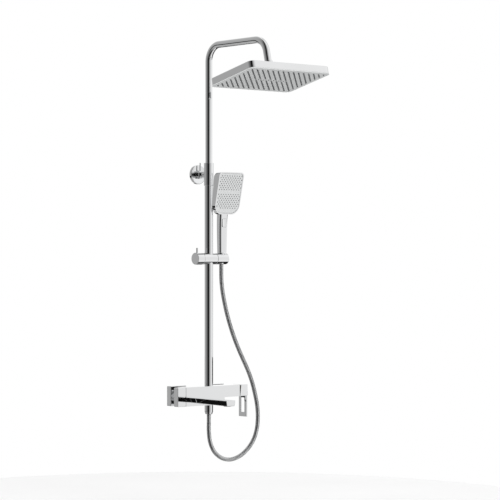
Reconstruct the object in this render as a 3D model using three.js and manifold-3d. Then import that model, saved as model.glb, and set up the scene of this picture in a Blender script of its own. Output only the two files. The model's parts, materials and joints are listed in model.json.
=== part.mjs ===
// Rainfall shower column: a square bar mixer with bath spout and diverter, a telescopic riser with
// an overhead shower, and a hand shower on a slider with its hose. Units are millimetres, +Z is up.
// The origin is on the wall, midway between the two water inlets. The column reaches out along -Y.

import * as THREE from 'three'
import { mergeVertices } from 'three/addons/utils/BufferGeometryUtils.js'
import Module from 'manifold-3d'

const wasm = await Module()
wasm.setup()

// ---------------------------------------------------------------- driving dimensions

const CLEAR = 0.3                  // gap between two pieces that meet
const WALL = 2                     // wall of the hollow castings and shells
const TURNED_EDGE = 0.8            // chamfer of the turned pieces

// water inlets on the wall
const INLET_SPACING = 150
const ROSETTE_SIDE = 61
const ROSETTE_DEPTH = 20
const ROSETTE_CORNER = 2.5
const ROSETTE_EDGE = 1.2
const UNION_RADIUS = 10
const UNION_NUT_FLATS = 30
const WATERWAY_RADIUS = 7

// mixer body: a long bar with a deeper block under its left part
const BODY_BACK = 38               // distance of the body's back from the wall
const BODY_DEPTH = 40
const BODY_TOP = 29
const BAR_BOTTOM = -7
const BLOCK_BOTTOM = -29
const BODY_LEFT = -92
const BLOCK_RIGHT = 60
const BODY_RIGHT = 121
const BODY_EDGE = 1

// temperature and flow lever on the right end
const LEVER_AXIS_Z = 11
const LEVER_GAP = 1.3
const LEVER_WEDGE = 4.2            // how much wider the gap is at the top
const LEVER_RIGHT = BODY_RIGHT + 32
const LEVER_PLATE = 4.5
const LEVER_DROP = 72              // how far the side plate hangs below the inlets
const LEVER_WINDOW_WIDTH = 17
const LEVER_WINDOW_TOP = -13
const LEVER_WINDOW_BOTTOM = -58
const CARTRIDGE_RADIUS = 14.7
const SPINDLE_RADIUS = 5
const SPINDLE_DEPTH = 28           // how far the spindle goes into the cartridge
const PIVOT_RADIUS = 1.5

// diverter knob on the left end
const KNOB_LENGTH = 31.5
const KNOB_DEPTH = 20
const KNOB_AXIS = BODY_BACK + BODY_DEPTH - KNOB_DEPTH / 2
const KNOB_GROOVE = 1.2
const DIVERTER_RADIUS = 7.7
const DIVERTER_SPINDLE_RADIUS = 4

// bath spout
const SPOUT_X = -57.5
const SPOUT_WIDTH = 35
const SPOUT_REACH = 248
const SPOUT_TOP = -3
const SPOUT_THICKNESS = 15
const SPOUT_TIP_THICKNESS = 17
const SPOUT_TAIL_RADIUS = 8
const SPOUT_TAIL_LENGTH = 10
const AERATOR_RADIUS = 11
const AERATOR_REACH = SPOUT_REACH - 17
const AERATOR_DROP = 1.5
const AERATOR_SEAT = -9            // where the aerator ends above, below the spout's top

// riser
const RISER_X = 13
const RISER_FORWARD = BODY_BACK + BODY_DEPTH / 2
const LOWER_RADIUS = 13
const LOWER_BORE = LOWER_RADIUS - 2.2
const LOWER_TOP = 672
const UPPER_RADIUS = LOWER_BORE - CLEAR
const UPPER_BORE = UPPER_RADIUS - 2
const UPPER_BOTTOM = LOWER_TOP - 202
const SLEEVE_RADIUS = LOWER_RADIUS + 2
const SLEEVE_BOTTOM = LOWER_TOP - 27
const SLEEVE_TOP = LOWER_TOP + 42
const TUBE_SEAT = 10               // how far the lower tube goes into the mixer body

// overhead arm and shower head
const ARM_HEIGHT = 1075
const ARM_BEND = 50
const ARM_STRAIGHT = 172
const HEAD_TILT = 13               // degrees that the front of the head is raised
const LEG_LENGTH = 40              // straight end of the tube after its last bend
const HEAD_DROP = 66               // from that bend to the top of the head, along the leg
const HEAD_WIDTH = 312
const HEAD_DEPTH = 196
const HEAD_SHELL_HEIGHT = 21
const HEAD_FACE_THICKNESS = 3
const HEAD_CORNER = 16
const HEAD_RIM = 1                 // the face plate stands out this far round the shell
const BALL_RADIUS = 9
const BALL_CLEAR = 0.4
const BALL_HEIGHT = 12             // ball centre above the head
const BALL_NUT_RADIUS = 16
const BALL_NUT_HEIGHT = 17
const JET_STRIPS = 21
const JET_PITCH = 20
const JET_WIDTH = 3.5
const JET_MARGIN = 13

// wall bracket at the sleeve
const BRACKET_Z = LOWER_TOP + 8
const BRACKET_RADIUS = 29.5
const BRACKET_THICKNESS = 8
const BOSS_RADIUS = 12
const BOSS_LENGTH = 13
const NECK_RADIUS = 8.5
const LOCK_PIN_RADIUS = 2
const LOCK_PIN_TOP = 36            // above the bracket's axis
const LOCK_PIN_FORWARD = 16

// slider with its knob and the holder of the hand shower
const SLIDER_Z = 420
const SLIDER_RADIUS = LOWER_RADIUS + 4.5
const SLIDER_LEFT = -28
const SLIDER_RIGHT = 24
const KNOB_TURN_RADIUS = 18.2
const CLAMP_KNOB_LENGTH = 26
const CLAMP_PIN_RADIUS = 2.8
const CLAMP_PIN_TOP = 33
const CLAMP_SCREW_RADIUS = 4
const HOLDER_LENGTH = 43
const SOCKET_X = 47                // hose axis from the riser axis
const SOCKET_FORWARD = 3
const PIVOT_SHAFT_RADIUS = 5

// hand shower
const HANDLE_FORWARD = 3           // handle axis in front of the hose axis
const HANDLE_WIDTH = 29
const HANDLE_DEPTH = 19
const HANDLE_TOP_WIDTH = 34
const HANDLE_TOP_DEPTH = 23
const HANDLE_LENGTH = 146
const HAND_HEAD_WIDTH = 98
const HAND_HEAD_BOTTOM = 136
const HAND_HEAD_TOP = 265
// back of the head in front of the handle axis, just clear of the riser's sleeve
const HAND_HEAD_BACK = SLEEVE_RADIUS + 0.5 - SOCKET_FORWARD - HANDLE_FORWARD
const HAND_FACE_FORWARD = 36       // middle of the spray face in front of the handle axis
const HAND_FACE_TILT = 13
const HAND_BACK_LEAN = 12          // how much further forward the back is at its top
const HAND_CORNER = 12
const HAND_CHIN = 30
const HAND_FACE_BORDER = 3.5
const HAND_FACE_THICKNESS = 4
const BUTTON_WIDTH = 17
const BUTTON_HEIGHT = 26
const BUTTON_Z = 110
const BUTTON_CORNER = 4
const BUTTON_RECESS = 6
const BUTTON_PROUD = 1.6
const BUTTON_TRAVEL = 1.8
const SPRING_RADIUS = 4
const SPRING_WIRE = 1.2
const HANDLE_LEAN = 6              // the handle's top leans forward into the head
const PIPE_BACK = 2.5              // the water pipe runs behind the handle's middle

// hose
const HOSE_RADIUS = 7
const HOSE_SIDES = 10
const HOSE_STEPS = 44
const OUTLET_NUT_RADIUS = HOSE_RADIUS + 6
const CONNECTOR_RADIUS = HOSE_RADIUS + 0.5
const CONNECTOR_STEM_RADIUS = CONNECTOR_RADIUS - 2
const CONNECTOR_BORE = 4.5
const OUTLET_NUT_BOTTOM = BLOCK_BOTTOM - 29
const HOSE_NUT_RADIUS = HOSE_RADIUS + 3
const HOSE_TOP = SLIDER_Z - 6
const HOSE_END = BLOCK_BOTTOM - 17

// ---------------------------------------------------------------- materials

const finish = (color, roughness, metalness) =>
  new THREE.MeshStandardMaterial({ color, roughness, metalness, flatShading: true })
const CHROME = finish(0xdfe2e4, 0.08, 1)
const STEEL = finish(0xa9adb0, 0.35, 1)
const BRASS = finish(0xb9924a, 0.4, 1)
const PALE_PLASTIC = finish(0xdcdedd, 0.35, 0)
const GREY_SILICONE = finish(0x8e9293, 0.6, 0)
const BLACK_RUBBER = finish(0x202122, 0.7, 0)
const DARK_PLASTIC = finish(0x34373a, 0.5, 0)
const HOSE_STEEL = finish(0xc6c9cb, 0.22, 1)

// ---------------------------------------------------------------- solids

// A closed three.js geometry as a solid that can be cut and joined.
function toSolid(geometry) {
  const bare = geometry.clone()
  bare.deleteAttribute('normal')
  bare.deleteAttribute('uv')
  const merged = mergeVertices(bare)
  const corners = merged.index.array
  const triangles = []
  for (let i = 0; i < corners.length; i += 3) {
    const [a, b, c] = corners.slice(i, i + 3)
    if (a !== b && b !== c && c !== a) triangles.push(a, b, c)
  }
  return new wasm.Manifold(new wasm.Mesh({
    numProp: 3,
    vertProperties: new Float32Array(merged.attributes.position.array),
    triVerts: new Uint32Array(triangles),
  }))
}

function toGeometry(solid) {
  const mesh = solid.getMesh()
  const geometry = new THREE.BufferGeometry()
  geometry.setAttribute('position', new THREE.BufferAttribute(mesh.vertProperties, 3))
  geometry.setIndex(new THREE.BufferAttribute(mesh.triVerts, 1))
  return geometry
}

const cut = (body, ...tools) =>
  toGeometry(tools.reduce((left, tool) => left.subtract(toSolid(tool)), toSolid(body)))
const join = (body, ...others) =>
  toGeometry(others.reduce((sum, other) => sum.add(toSolid(other)), toSolid(body)))
const common = (body, other) => toGeometry(toSolid(body).intersect(toSolid(other)))

// A box from its lowest to its highest corner; forward distances are measured out from the wall.
function block([left, right], [near, far], [bottom, top]) {
  return new THREE.BoxGeometry(right - left, far - near, top - bottom)
    .translate((left + right) / 2, -(near + far) / 2, (bottom + top) / 2)
}

// A solid turned about the Z axis from [radius, z] points.
function turned(profile, sides = 20) {
  const points = profile.map(([radius, z]) => new THREE.Vector2(radius, z))
  if (THREE.ShapeUtils.area(points) < 0) points.reverse()
  const closed = points.every(point => point.x > 0) ? [...points, points[0]] : points
  return new THREE.LatheGeometry(closed, sides).rotateX(Math.PI / 2)
}

const rod = (radius, from, to, sides = 20) =>
  new THREE.CylinderGeometry(radius, radius, to - from, sides)
    .rotateX(Math.PI / 2).translate(0, 0, (from + to) / 2)
const ring = (outer, inner, from, to, sides = 20) =>
  turned([[inner, from], [outer, from], [outer, to], [inner, to]], sides)

// Lay a piece made along Z along X, or out from the wall along -Y.
const alongX = geometry => geometry.rotateY(Math.PI / 2)
const forward = geometry => geometry.rotateX(Math.PI / 2)

// A rounded rectangle in the XY plane.
function roundedRectangle(width, height, corner, bottomCorner = corner) {
  const x = width / 2
  const y = height / 2
  const shape = new THREE.Shape()
  shape.moveTo(-x + bottomCorner, -y)
  shape.lineTo(x - bottomCorner, -y)
  shape.absarc(x - bottomCorner, -y + bottomCorner, bottomCorner, -Math.PI / 2, 0)
  shape.lineTo(x, y - corner)
  shape.absarc(x - corner, y - corner, corner, 0, Math.PI / 2)
  shape.lineTo(-x + corner, y)
  shape.absarc(-x + corner, y - corner, corner, Math.PI / 2, Math.PI)
  shape.lineTo(-x, -y + bottomCorner)
  shape.absarc(-x + bottomCorner, -y + bottomCorner, bottomCorner, Math.PI, Math.PI * 1.5)
  return shape
}

// A flat shape given thickness along Z, with its edges chamfered by edge.
function plate(shape, from, to, edge = 0, curveSegments = 3) {
  const geometry = new THREE.ExtrudeGeometry(shape, {
    depth: to - from - 2 * edge,
    bevelEnabled: edge > 0,
    bevelThickness: edge,
    bevelSize: edge,
    bevelOffset: -edge,
    bevelSegments: 1,
    curveSegments,
  })
  return geometry.translate(0, 0, from + edge)
}

function polygon(points) {
  return new THREE.Shape(points.map(([x, y]) => new THREE.Vector2(x, y)))
}

// A shape drawn as [forward, z] points, given thickness along X.
function sidePlate(points, left, right, edge = 0) {
  const outline = polygon(points.map(([out, z]) => [-out, z]))
  return plate(outline, left, right, edge)
    .applyMatrix4(new THREE.Matrix4().makeBasis(
      new THREE.Vector3(0, 1, 0), new THREE.Vector3(0, 0, 1), new THREE.Vector3(1, 0, 0)))
}

function swept(shape, path, steps) {
  return new THREE.ExtrudeGeometry(shape, { steps, extrudePath: path, bevelEnabled: false })
}

function circle(radius, sides) {
  const points = []
  for (let i = 0; i < sides; i += 1) {
    const angle = 2 * Math.PI * i / sides
    points.push([radius * Math.cos(angle), radius * Math.sin(angle)])
  }
  return polygon(points)
}

// ---------------------------------------------------------------- assembly

function group(parent, x = 0, out = 0, z = 0) {
  const node = new THREE.Group()
  node.position.set(x, -out, z)
  if (parent) parent.add(node)
  return node
}

function place(parent, name, geometry, material, x = 0, out = 0, z = 0) {
  const mesh = new THREE.Mesh(geometry, material)
  mesh.name = name
  mesh.position.set(x, -out, z)
  parent.add(mesh)
  return mesh
}

const column = group(null)

// ---------------------------------------------------------------- water inlets

const NIPPLE_LENGTH = 10
const NIPPLE_RADIUS = 12
const FLANGE_THICKNESS = 2
const WASHER_THICKNESS = 1.5
const nippleEnd = BODY_BACK - NIPPLE_LENGTH
const flangeFront = nippleEnd - WASHER_THICKNESS - 2 * CLEAR

function rosette() {
  const outline = roundedRectangle(ROSETTE_SIDE, ROSETTE_SIDE, ROSETTE_CORNER)
  const inner = roundedRectangle(ROSETTE_SIDE - 2 * WALL, ROSETTE_SIDE - 2 * WALL,
    ROSETTE_CORNER - 0.5)
  return forward(cut(
    plate(outline, 0, ROSETTE_DEPTH, ROSETTE_EDGE),
    plate(inner, -1, ROSETTE_DEPTH - WALL),
    rod(UNION_RADIUS + CLEAR, 0, ROSETTE_DEPTH + 1)))
}

function inletUnion() {
  const flangeBack = flangeFront - FLANGE_THICKNESS
  return forward(turned([
    [WATERWAY_RADIUS, 0], [UNION_RADIUS, 0], [UNION_RADIUS, flangeBack],
    [NIPPLE_RADIUS - CLEAR, flangeBack], [NIPPLE_RADIUS - CLEAR, flangeFront],
    [WATERWAY_RADIUS, flangeFront]]))
}

function unionNut() {
  const back = ROSETTE_DEPTH + 1
  const front = BODY_BACK - 2 * CLEAR
  const shoulder = flangeFront - FLANGE_THICKNESS - CLEAR
  const hexagon = circle(UNION_NUT_FLATS / Math.sqrt(3), 6)
  return forward(cut(
    plate(hexagon, back, front, TURNED_EDGE),
    rod(UNION_RADIUS + CLEAR, back - 1, front + 1),
    rod(NIPPLE_RADIUS + CLEAR, shoulder, front + 1)))
}

for (const [side, x] of [['left', -INLET_SPACING / 2], ['right', INLET_SPACING / 2]]) {
  const inlet = group(column, x)
  place(inlet, `wall_rosette_${side}`, rosette(), CHROME)
  place(inlet, `inlet_union_${side}`, inletUnion(), BRASS)
  place(inlet, `union_nut_${side}`, unionNut(), CHROME)
  const washer = ring(NIPPLE_RADIUS - 2 * CLEAR, WATERWAY_RADIUS,
    flangeFront + CLEAR, nippleEnd - CLEAR)
  place(inlet, `inlet_washer_${side}`, forward(washer), BLACK_RUBBER)
}

// ---------------------------------------------------------------- mixer

const bodyFront = BODY_BACK + BODY_DEPTH
const bodyMiddle = BODY_BACK + BODY_DEPTH / 2
const mixer = group(column)

const CARTRIDGE_DEPTH = 41
const DIVERTER_DEPTH = 24
const GALLERY_RADIUS = 5
const GALLERY_OVERLAP = 6          // how far the gallery runs into the two cartridges' bores
const SEAT_RING_HEIGHT = 2.7
const OUTLET_NIPPLE_RADIUS = 9
const NIPPLE_SEAT = 14.5

function mixerBody() {
  const outline = polygon([
    [BODY_LEFT, BLOCK_BOTTOM], [BLOCK_RIGHT, BLOCK_BOTTOM], [BLOCK_RIGHT, BAR_BOTTOM],
    [BODY_RIGHT, BAR_BOTTOM], [BODY_RIGHT, BODY_TOP], [BODY_LEFT, BODY_TOP]])
  const casting = forward(plate(outline, BODY_BACK, bodyFront, BODY_EDGE))
  const nipples = [-1, 1].map(side =>
    forward(rod(NIPPLE_RADIUS, nippleEnd, BODY_BACK + WALL))
      .translate(side * INLET_SPACING / 2, 0, 0))
  const inlets = [-1, 1].map(side =>
    forward(rod(WATERWAY_RADIUS, nippleEnd - 1, bodyMiddle, 12))
      .translate(side * INLET_SPACING / 2, 0, 0))
  const cartridgeBore = alongX(rod(CARTRIDGE_RADIUS + CLEAR, BODY_RIGHT - CARTRIDGE_DEPTH,
    BODY_RIGHT + 1)).translate(0, -bodyMiddle, LEVER_AXIS_Z)
  const diverterBore = alongX(rod(DIVERTER_RADIUS + CLEAR, BODY_LEFT - 1,
    BODY_LEFT + DIVERTER_DEPTH)).translate(0, -KNOB_AXIS, 0)
  const gallery = alongX(rod(GALLERY_RADIUS, BODY_LEFT + DIVERTER_DEPTH - GALLERY_OVERLAP,
    BODY_RIGHT - CARTRIDGE_DEPTH + GALLERY_OVERLAP, 12)).translate(0, -bodyMiddle, 0)
  const tubeSeat = BODY_TOP - TUBE_SEAT - SEAT_RING_HEIGHT - CLEAR
  const riserBore = join(
    rod(LOWER_RADIUS + CLEAR, tubeSeat, BODY_TOP + 1),
    rod(GALLERY_RADIUS, 0, BODY_TOP, 12)).translate(RISER_X, -RISER_FORWARD, 0)
  const outletBore = join(
    rod(OUTLET_NIPPLE_RADIUS + CLEAR, BLOCK_BOTTOM - 1, BLOCK_BOTTOM + NIPPLE_SEAT),
    rod(GALLERY_RADIUS, BLOCK_BOTTOM, 0, 12)).translate(RISER_X, -RISER_FORWARD, 0)
  const spoutBore = join(
    forward(rod(SPOUT_TAIL_RADIUS + CLEAR, bodyFront - SPOUT_TAIL_LENGTH - 1, bodyFront + 1)),
    forward(rod(GALLERY_RADIUS, bodyMiddle, bodyFront, 12)))
    .translate(SPOUT_X, 0, SPOUT_TOP - SPOUT_THICKNESS / 2)
  return cut(join(casting, ...nipples), ...inlets, cartridgeBore, diverterBore, gallery,
    riserBore, outletBore, spoutBore)
}

place(mixer, 'mixer_body', mixerBody(), CHROME)

// Everything on the lever's axis is made along X with its zero at the body's right end.
const leverEnd = group(mixer, BODY_RIGHT, bodyMiddle, LEVER_AXIS_Z)
const CARTRIDGE_NUT_LENGTH = 8
const cartridgeFront = -CARTRIDGE_NUT_LENGTH - 2 * CLEAR
place(leverEnd, 'mixer_cartridge', alongX(cut(
  rod(CARTRIDGE_RADIUS, CLEAR - CARTRIDGE_DEPTH, cartridgeFront),
  rod(SPINDLE_RADIUS + CLEAR, -SPINDLE_DEPTH, cartridgeFront + 1))), DARK_PLASTIC)
place(leverEnd, 'cartridge_nut', alongX(
  ring(CARTRIDGE_RADIUS, SPINDLE_RADIUS + 1.5, cartridgeFront + CLEAR, -CLEAR)), BRASS)

// The lever turns with the spindle for temperature, and rocks on the pivot pin for flow.
const PIVOT_X = 8
const PIVOT_Z = 11
const CARRIER_THICKNESS = 3.4
const LEVER_WALL = 6
const LEVER_FLOOR = 3.5
const PIN_INSET = 2
const PLATE_INSET = 2
const pocketHalf = BODY_DEPTH / 2 - LEVER_WALL

function leverSpindle() {
  const shaft = alongX(rod(SPINDLE_RADIUS, CLEAR - SPINDLE_DEPTH, PIVOT_X))
  const half = pocketHalf - PIN_INSET
  const carrier = block([PIVOT_X - CARRIER_THICKNESS / 2, PIVOT_X + CARRIER_THICKNESS / 2],
    [-half, half], [-SPINDLE_RADIUS, PIVOT_Z + CARRIER_THICKNESS / 2])
  const eye = forward(rod(CARRIER_THICKNESS, -half, half)).translate(PIVOT_X, 0, PIVOT_Z)
  const pinHole = forward(rod(PIVOT_RADIUS + CLEAR, -half - 1, half + 1, 12))
    .translate(PIVOT_X, 0, PIVOT_Z)
  return cut(join(shaft, carrier, eye), pinHole)
}
place(leverEnd, 'lever_spindle', leverSpindle(), BRASS)
place(leverEnd, 'lever_pivot_pin', forward(
  rod(PIVOT_RADIUS, PIN_INSET - BODY_DEPTH / 2, BODY_DEPTH / 2 - PIN_INSET, 12)),
STEEL, PIVOT_X, 0, PIVOT_Z)

function mixerLever() {
  const right = LEVER_RIGHT - BODY_RIGHT
  const top = BODY_TOP - LEVER_AXIS_Z
  const bottom = BAR_BOTTOM - LEVER_AXIS_Z + CLEAR
  const half = BODY_DEPTH / 2
  const outline = polygon([
    [LEVER_GAP, bottom], [right, bottom], [right, top], [LEVER_GAP + LEVER_WEDGE, top]])
  const head = forward(plate(outline, -half, half, BODY_EDGE))
  const pocket = block([0, right - LEVER_WALL], [-pocketHalf, pocketHalf],
    [bottom + LEVER_FLOOR, top - WALL])
  const pinEnd = half - PIN_INSET + CLEAR
  const pinHole = forward(rod(PIVOT_RADIUS + CLEAR, -pinEnd, pinEnd, 12))
    .translate(PIVOT_X, 0, PIVOT_Z)
  const plateHalf = half - PLATE_INSET
  const side = sidePlate([
    [-plateHalf, -LEVER_DROP - LEVER_AXIS_Z], [plateHalf, -LEVER_DROP - LEVER_AXIS_Z],
    [plateHalf, 0], [-plateHalf, 0]], right - LEVER_PLATE, right, BODY_EDGE / 2)
  const window = block([0, right + 1], [-LEVER_WINDOW_WIDTH / 2, LEVER_WINDOW_WIDTH / 2],
    [LEVER_WINDOW_BOTTOM - LEVER_AXIS_Z, LEVER_WINDOW_TOP - LEVER_AXIS_Z])
  return cut(join(head, side), pocket, pinHole, window)
}
place(leverEnd, 'mixer_lever', mixerLever(), CHROME)

// Diverter: everything on its axis is made along X with its zero at the body's left end.
const diverterEnd = group(mixer, BODY_LEFT, KNOB_AXIS)
const SPINDLE_IN_KNOB = 14
place(diverterEnd, 'diverter_cartridge', alongX(
  ring(DIVERTER_RADIUS, DIVERTER_SPINDLE_RADIUS + CLEAR, CLEAR, DIVERTER_DEPTH - CLEAR)),
DARK_PLASTIC)
place(diverterEnd, 'diverter_spindle', alongX(
  rod(DIVERTER_SPINDLE_RADIUS, CLEAR - SPINDLE_IN_KNOB, DIVERTER_DEPTH - 4)), BRASS)

function diverterKnob() {
  const outline = roundedRectangle(KNOB_LENGTH, BODY_TOP - BLOCK_BOTTOM - 2 * CLEAR, ROSETTE_EDGE)
  const middle = (BODY_TOP + BLOCK_BOTTOM) / 2
  const knob = forward(plate(outline, -KNOB_DEPTH / 2, KNOB_DEPTH / 2, BODY_EDGE))
    .translate(-CLEAR - KNOB_LENGTH / 2, 0, middle)
  const socket = alongX(rod(DIVERTER_SPINDLE_RADIUS + CLEAR, -SPINDLE_IN_KNOB, 1))
  const frontGroove = block([-KNOB_LENGTH - 1, 0],
    [KNOB_DEPTH / 2 - KNOB_GROOVE, KNOB_DEPTH / 2 + 1], [-KNOB_GROOVE / 2, KNOB_GROOVE / 2])
  const endGroove = block([-KNOB_LENGTH - 1, -KNOB_LENGTH - CLEAR + KNOB_GROOVE],
    [-KNOB_DEPTH, KNOB_DEPTH], [-KNOB_GROOVE / 2, KNOB_GROOVE / 2])
  return cut(knob, socket, frontGroove, endGroove)
}
place(diverterEnd, 'diverter_knob', diverterKnob(), CHROME)

// Bath spout with its flow straightener
const spout = group(mixer, SPOUT_X, 0, SPOUT_TOP)
const SPOUT_START = bodyFront + CLEAR
const SPOUT_WALL = 5
function bathSpout() {
  const arm = sidePlate([
    [SPOUT_START, -SPOUT_THICKNESS], [SPOUT_REACH, -SPOUT_TIP_THICKNESS],
    [SPOUT_REACH, 0], [SPOUT_START, 0]], -SPOUT_WIDTH / 2, SPOUT_WIDTH / 2, BODY_EDGE)
  const middle = -SPOUT_THICKNESS / 2
  const tail = forward(rod(SPOUT_TAIL_RADIUS, bodyFront - SPOUT_TAIL_LENGTH, SPOUT_START + WALL))
    .translate(0, 0, middle)
  const channel = block([SPOUT_WALL - SPOUT_WIDTH / 2, SPOUT_WIDTH / 2 - SPOUT_WALL],
    [SPOUT_START + SPOUT_WALL, AERATOR_REACH], [WALL - SPOUT_THICKNESS, -WALL])
  const inlet = forward(rod(GALLERY_RADIUS - 1, bodyFront - SPOUT_TAIL_LENGTH - 1,
    SPOUT_START + SPOUT_WALL + 1, 12))
    .translate(0, 0, middle)
  const mouth = rod(AERATOR_RADIUS + CLEAR, -SPOUT_TIP_THICKNESS - 1, AERATOR_SEAT)
    .translate(0, -AERATOR_REACH, 0)
  return cut(join(arm, tail), channel, inlet, mouth)
}
place(spout, 'bath_spout', bathSpout(), CHROME)
place(spout, 'spout_aerator', ring(AERATOR_RADIUS, AERATOR_RADIUS - 3,
  -SPOUT_TIP_THICKNESS - AERATOR_DROP, AERATOR_SEAT - CLEAR), STEEL, 0, AERATOR_REACH)

// ---------------------------------------------------------------- riser

const riser = group(column, RISER_X, RISER_FORWARD)
const tubeBottom = BODY_TOP - TUBE_SEAT
place(riser, 'riser_base_seal', ring(LOWER_RADIUS - 2 * CLEAR, LOWER_BORE - 2,
  tubeBottom - SEAT_RING_HEIGHT, tubeBottom - CLEAR), BLACK_RUBBER)
place(riser, 'riser_lower_tube', ring(LOWER_RADIUS, LOWER_BORE, tubeBottom, LOWER_TOP, 24), CHROME)

// The upper tube slides in the lower one on a guide that also lets the arm turn.
const GUIDE_HEIGHT = 14
const GUIDE_PIN_HEIGHT = 12
const BEND_STEPS = 6
place(riser, 'riser_guide', join(
  rod(LOWER_BORE - CLEAR, UPPER_BOTTOM - GUIDE_HEIGHT - CLEAR, UPPER_BOTTOM - CLEAR),
  rod(UPPER_BORE - CLEAR, UPPER_BOTTOM - WALL, UPPER_BOTTOM + GUIDE_PIN_HEIGHT)), DARK_PLASTIC)

function armPath(startZ) {
  const path = new THREE.CurvePath()
  const at = (out, z) => new THREE.Vector3(0, -out, z)
  const bend = (centreOut, centreZ, fromAngle, toAngle) => {
    const arc = new THREE.Curve()
    arc.getPoint = t => {
      const angle = THREE.MathUtils.degToRad(fromAngle + (toAngle - fromAngle) * t)
      return at(centreOut + ARM_BEND * Math.cos(angle), centreZ + ARM_BEND * Math.sin(angle))
    }
    return arc
  }
  const bendZ = ARM_HEIGHT - ARM_BEND
  const armEnd = ARM_BEND + ARM_STRAIGHT
  const legTop = bend(armEnd, bendZ, 90, HEAD_TILT).getPoint(1)
  const legEnd = legTop.clone().add(legDirection().multiplyScalar(LEG_LENGTH))
  path.add(new THREE.LineCurve3(at(0, startZ), at(0, bendZ)))
  path.add(bend(ARM_BEND, bendZ, 180, 90))
  path.add(new THREE.LineCurve3(at(ARM_BEND, ARM_HEIGHT), at(armEnd, ARM_HEIGHT)))
  path.add(bend(armEnd, bendZ, 90, HEAD_TILT))
  path.add(new THREE.LineCurve3(legTop, legEnd))
  return path
}

function legDirection() {
  const tilt = THREE.MathUtils.degToRad(HEAD_TILT)
  return new THREE.Vector3(0, -Math.sin(tilt), -Math.cos(tilt))
}

// A tube along a path that is straight except in its bends, with its rings only where it turns.
function bentTube(radius, path, sides) {
  const points = [path.curves[0].getPoint(0)]
  for (const curve of path.curves) {
    const steps = curve instanceof THREE.LineCurve3 ? 1 : BEND_STEPS
    for (let i = 1; i <= steps; i += 1) points.push(curve.getPoint(i / steps))
  }
  const polyline = new THREE.Curve()
  polyline.getPoint = t => {
    const along = t * (points.length - 1)
    const index = Math.min(Math.floor(along), points.length - 2)
    return points[index].clone().lerp(points[index + 1], along - index)
  }
  polyline.getPointAt = polyline.getPoint
  polyline.getTangentAt = t => {
    const index = Math.round(t * (points.length - 1))
    const before = points[Math.max(index - 1, 0)]
    const after = points[Math.min(index + 1, points.length - 1)]
    const tangent = after.clone().sub(points[index]).normalize()
    return tangent.add(points[index].clone().sub(before).normalize()).normalize()
  }
  return swept(circle(radius, sides), polyline, points.length - 1)
}

const upperPath = armPath(UPPER_BOTTOM)
place(riser, 'riser_upper_tube', cut(
  bentTube(UPPER_RADIUS, upperPath, 20),
  bentTube(UPPER_BORE, upperPath, 16),
  rod(UPPER_BORE, UPPER_BOTTOM - 1, UPPER_BOTTOM + 1, 16)), CHROME)

// Height lock: a sleeve over the joint of the two tubes
const SLEEVE_STEP = LOWER_TOP + 8
const WIPER_HEIGHT = 4
const WIPER_RADIUS = UPPER_RADIUS + 2
place(riser, 'height_lock_sleeve', turned([
  [LOWER_RADIUS + CLEAR, SLEEVE_BOTTOM], [SLEEVE_RADIUS, SLEEVE_BOTTOM],
  [SLEEVE_RADIUS, SLEEVE_TOP], [WIPER_RADIUS + CLEAR, SLEEVE_TOP],
  [WIPER_RADIUS + CLEAR, SLEEVE_TOP - WIPER_HEIGHT],
  [UPPER_RADIUS + CLEAR, SLEEVE_TOP - WIPER_HEIGHT],
  [UPPER_RADIUS + CLEAR, SLEEVE_STEP], [LOWER_RADIUS + CLEAR, SLEEVE_STEP]], 24), CHROME)
place(riser, 'sleeve_wiper_ring', ring(WIPER_RADIUS, UPPER_RADIUS + CLEAR,
  SLEEVE_TOP - WIPER_HEIGHT + CLEAR, SLEEVE_TOP - CLEAR), BLACK_RUBBER)
place(riser, 'height_lock_collet', ring(LOWER_RADIUS, UPPER_RADIUS + CLEAR,
  LOWER_TOP + CLEAR, SLEEVE_STEP - CLEAR), DARK_PLASTIC)

// ---------------------------------------------------------------- wall bracket

const bracket = group(column, RISER_X, 0, BRACKET_Z)
const WALL_PLATE_THICKNESS = 4
const WALL_PLATE_RADIUS = BRACKET_RADIUS - WALL - CLEAR
const SCREW_OFFSET = 19
const SCREW_RADIUS = 2
const SCREW_HEAD_RADIUS = 4
const SCREW_HEAD_HEIGHT = 1.6
const COVER_EDGE = 1
const LOCK_PIN_SEAT = 2            // where the pin ends, above the bracket's axis
place(bracket, 'bracket_cover', forward(turned([
  [BRACKET_RADIUS - WALL, 0], [BRACKET_RADIUS, 0], [BRACKET_RADIUS, BRACKET_THICKNESS - COVER_EDGE],
  [BRACKET_RADIUS - COVER_EDGE, BRACKET_THICKNESS], [BOSS_RADIUS + CLEAR, BRACKET_THICKNESS],
  [BOSS_RADIUS + CLEAR, BRACKET_THICKNESS - WALL],
  [BRACKET_RADIUS - WALL, BRACKET_THICKNESS - WALL]], 28)), CHROME)
const screwHoles = [-1, 1].map(side =>
  rod(SCREW_RADIUS + CLEAR, -1, WALL_PLATE_THICKNESS + 1, 12)
    .translate(0, side * SCREW_OFFSET, 0))
place(bracket, 'bracket_wall_plate', forward(cut(
  rod(WALL_PLATE_RADIUS, 0, WALL_PLATE_THICKNESS - CLEAR),
  ...screwHoles)), STEEL)
for (const [name, side] of [['bracket_screw_upper', 1], ['bracket_screw_lower', -1]]) {
  place(bracket, name, forward(join(
    rod(SCREW_RADIUS, 0, WALL_PLATE_THICKNESS, 12),
    rod(SCREW_HEAD_RADIUS, WALL_PLATE_THICKNESS, WALL_PLATE_THICKNESS + SCREW_HEAD_HEIGHT, 12))),
  STEEL, 0, 0, side * SCREW_OFFSET)
}

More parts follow.
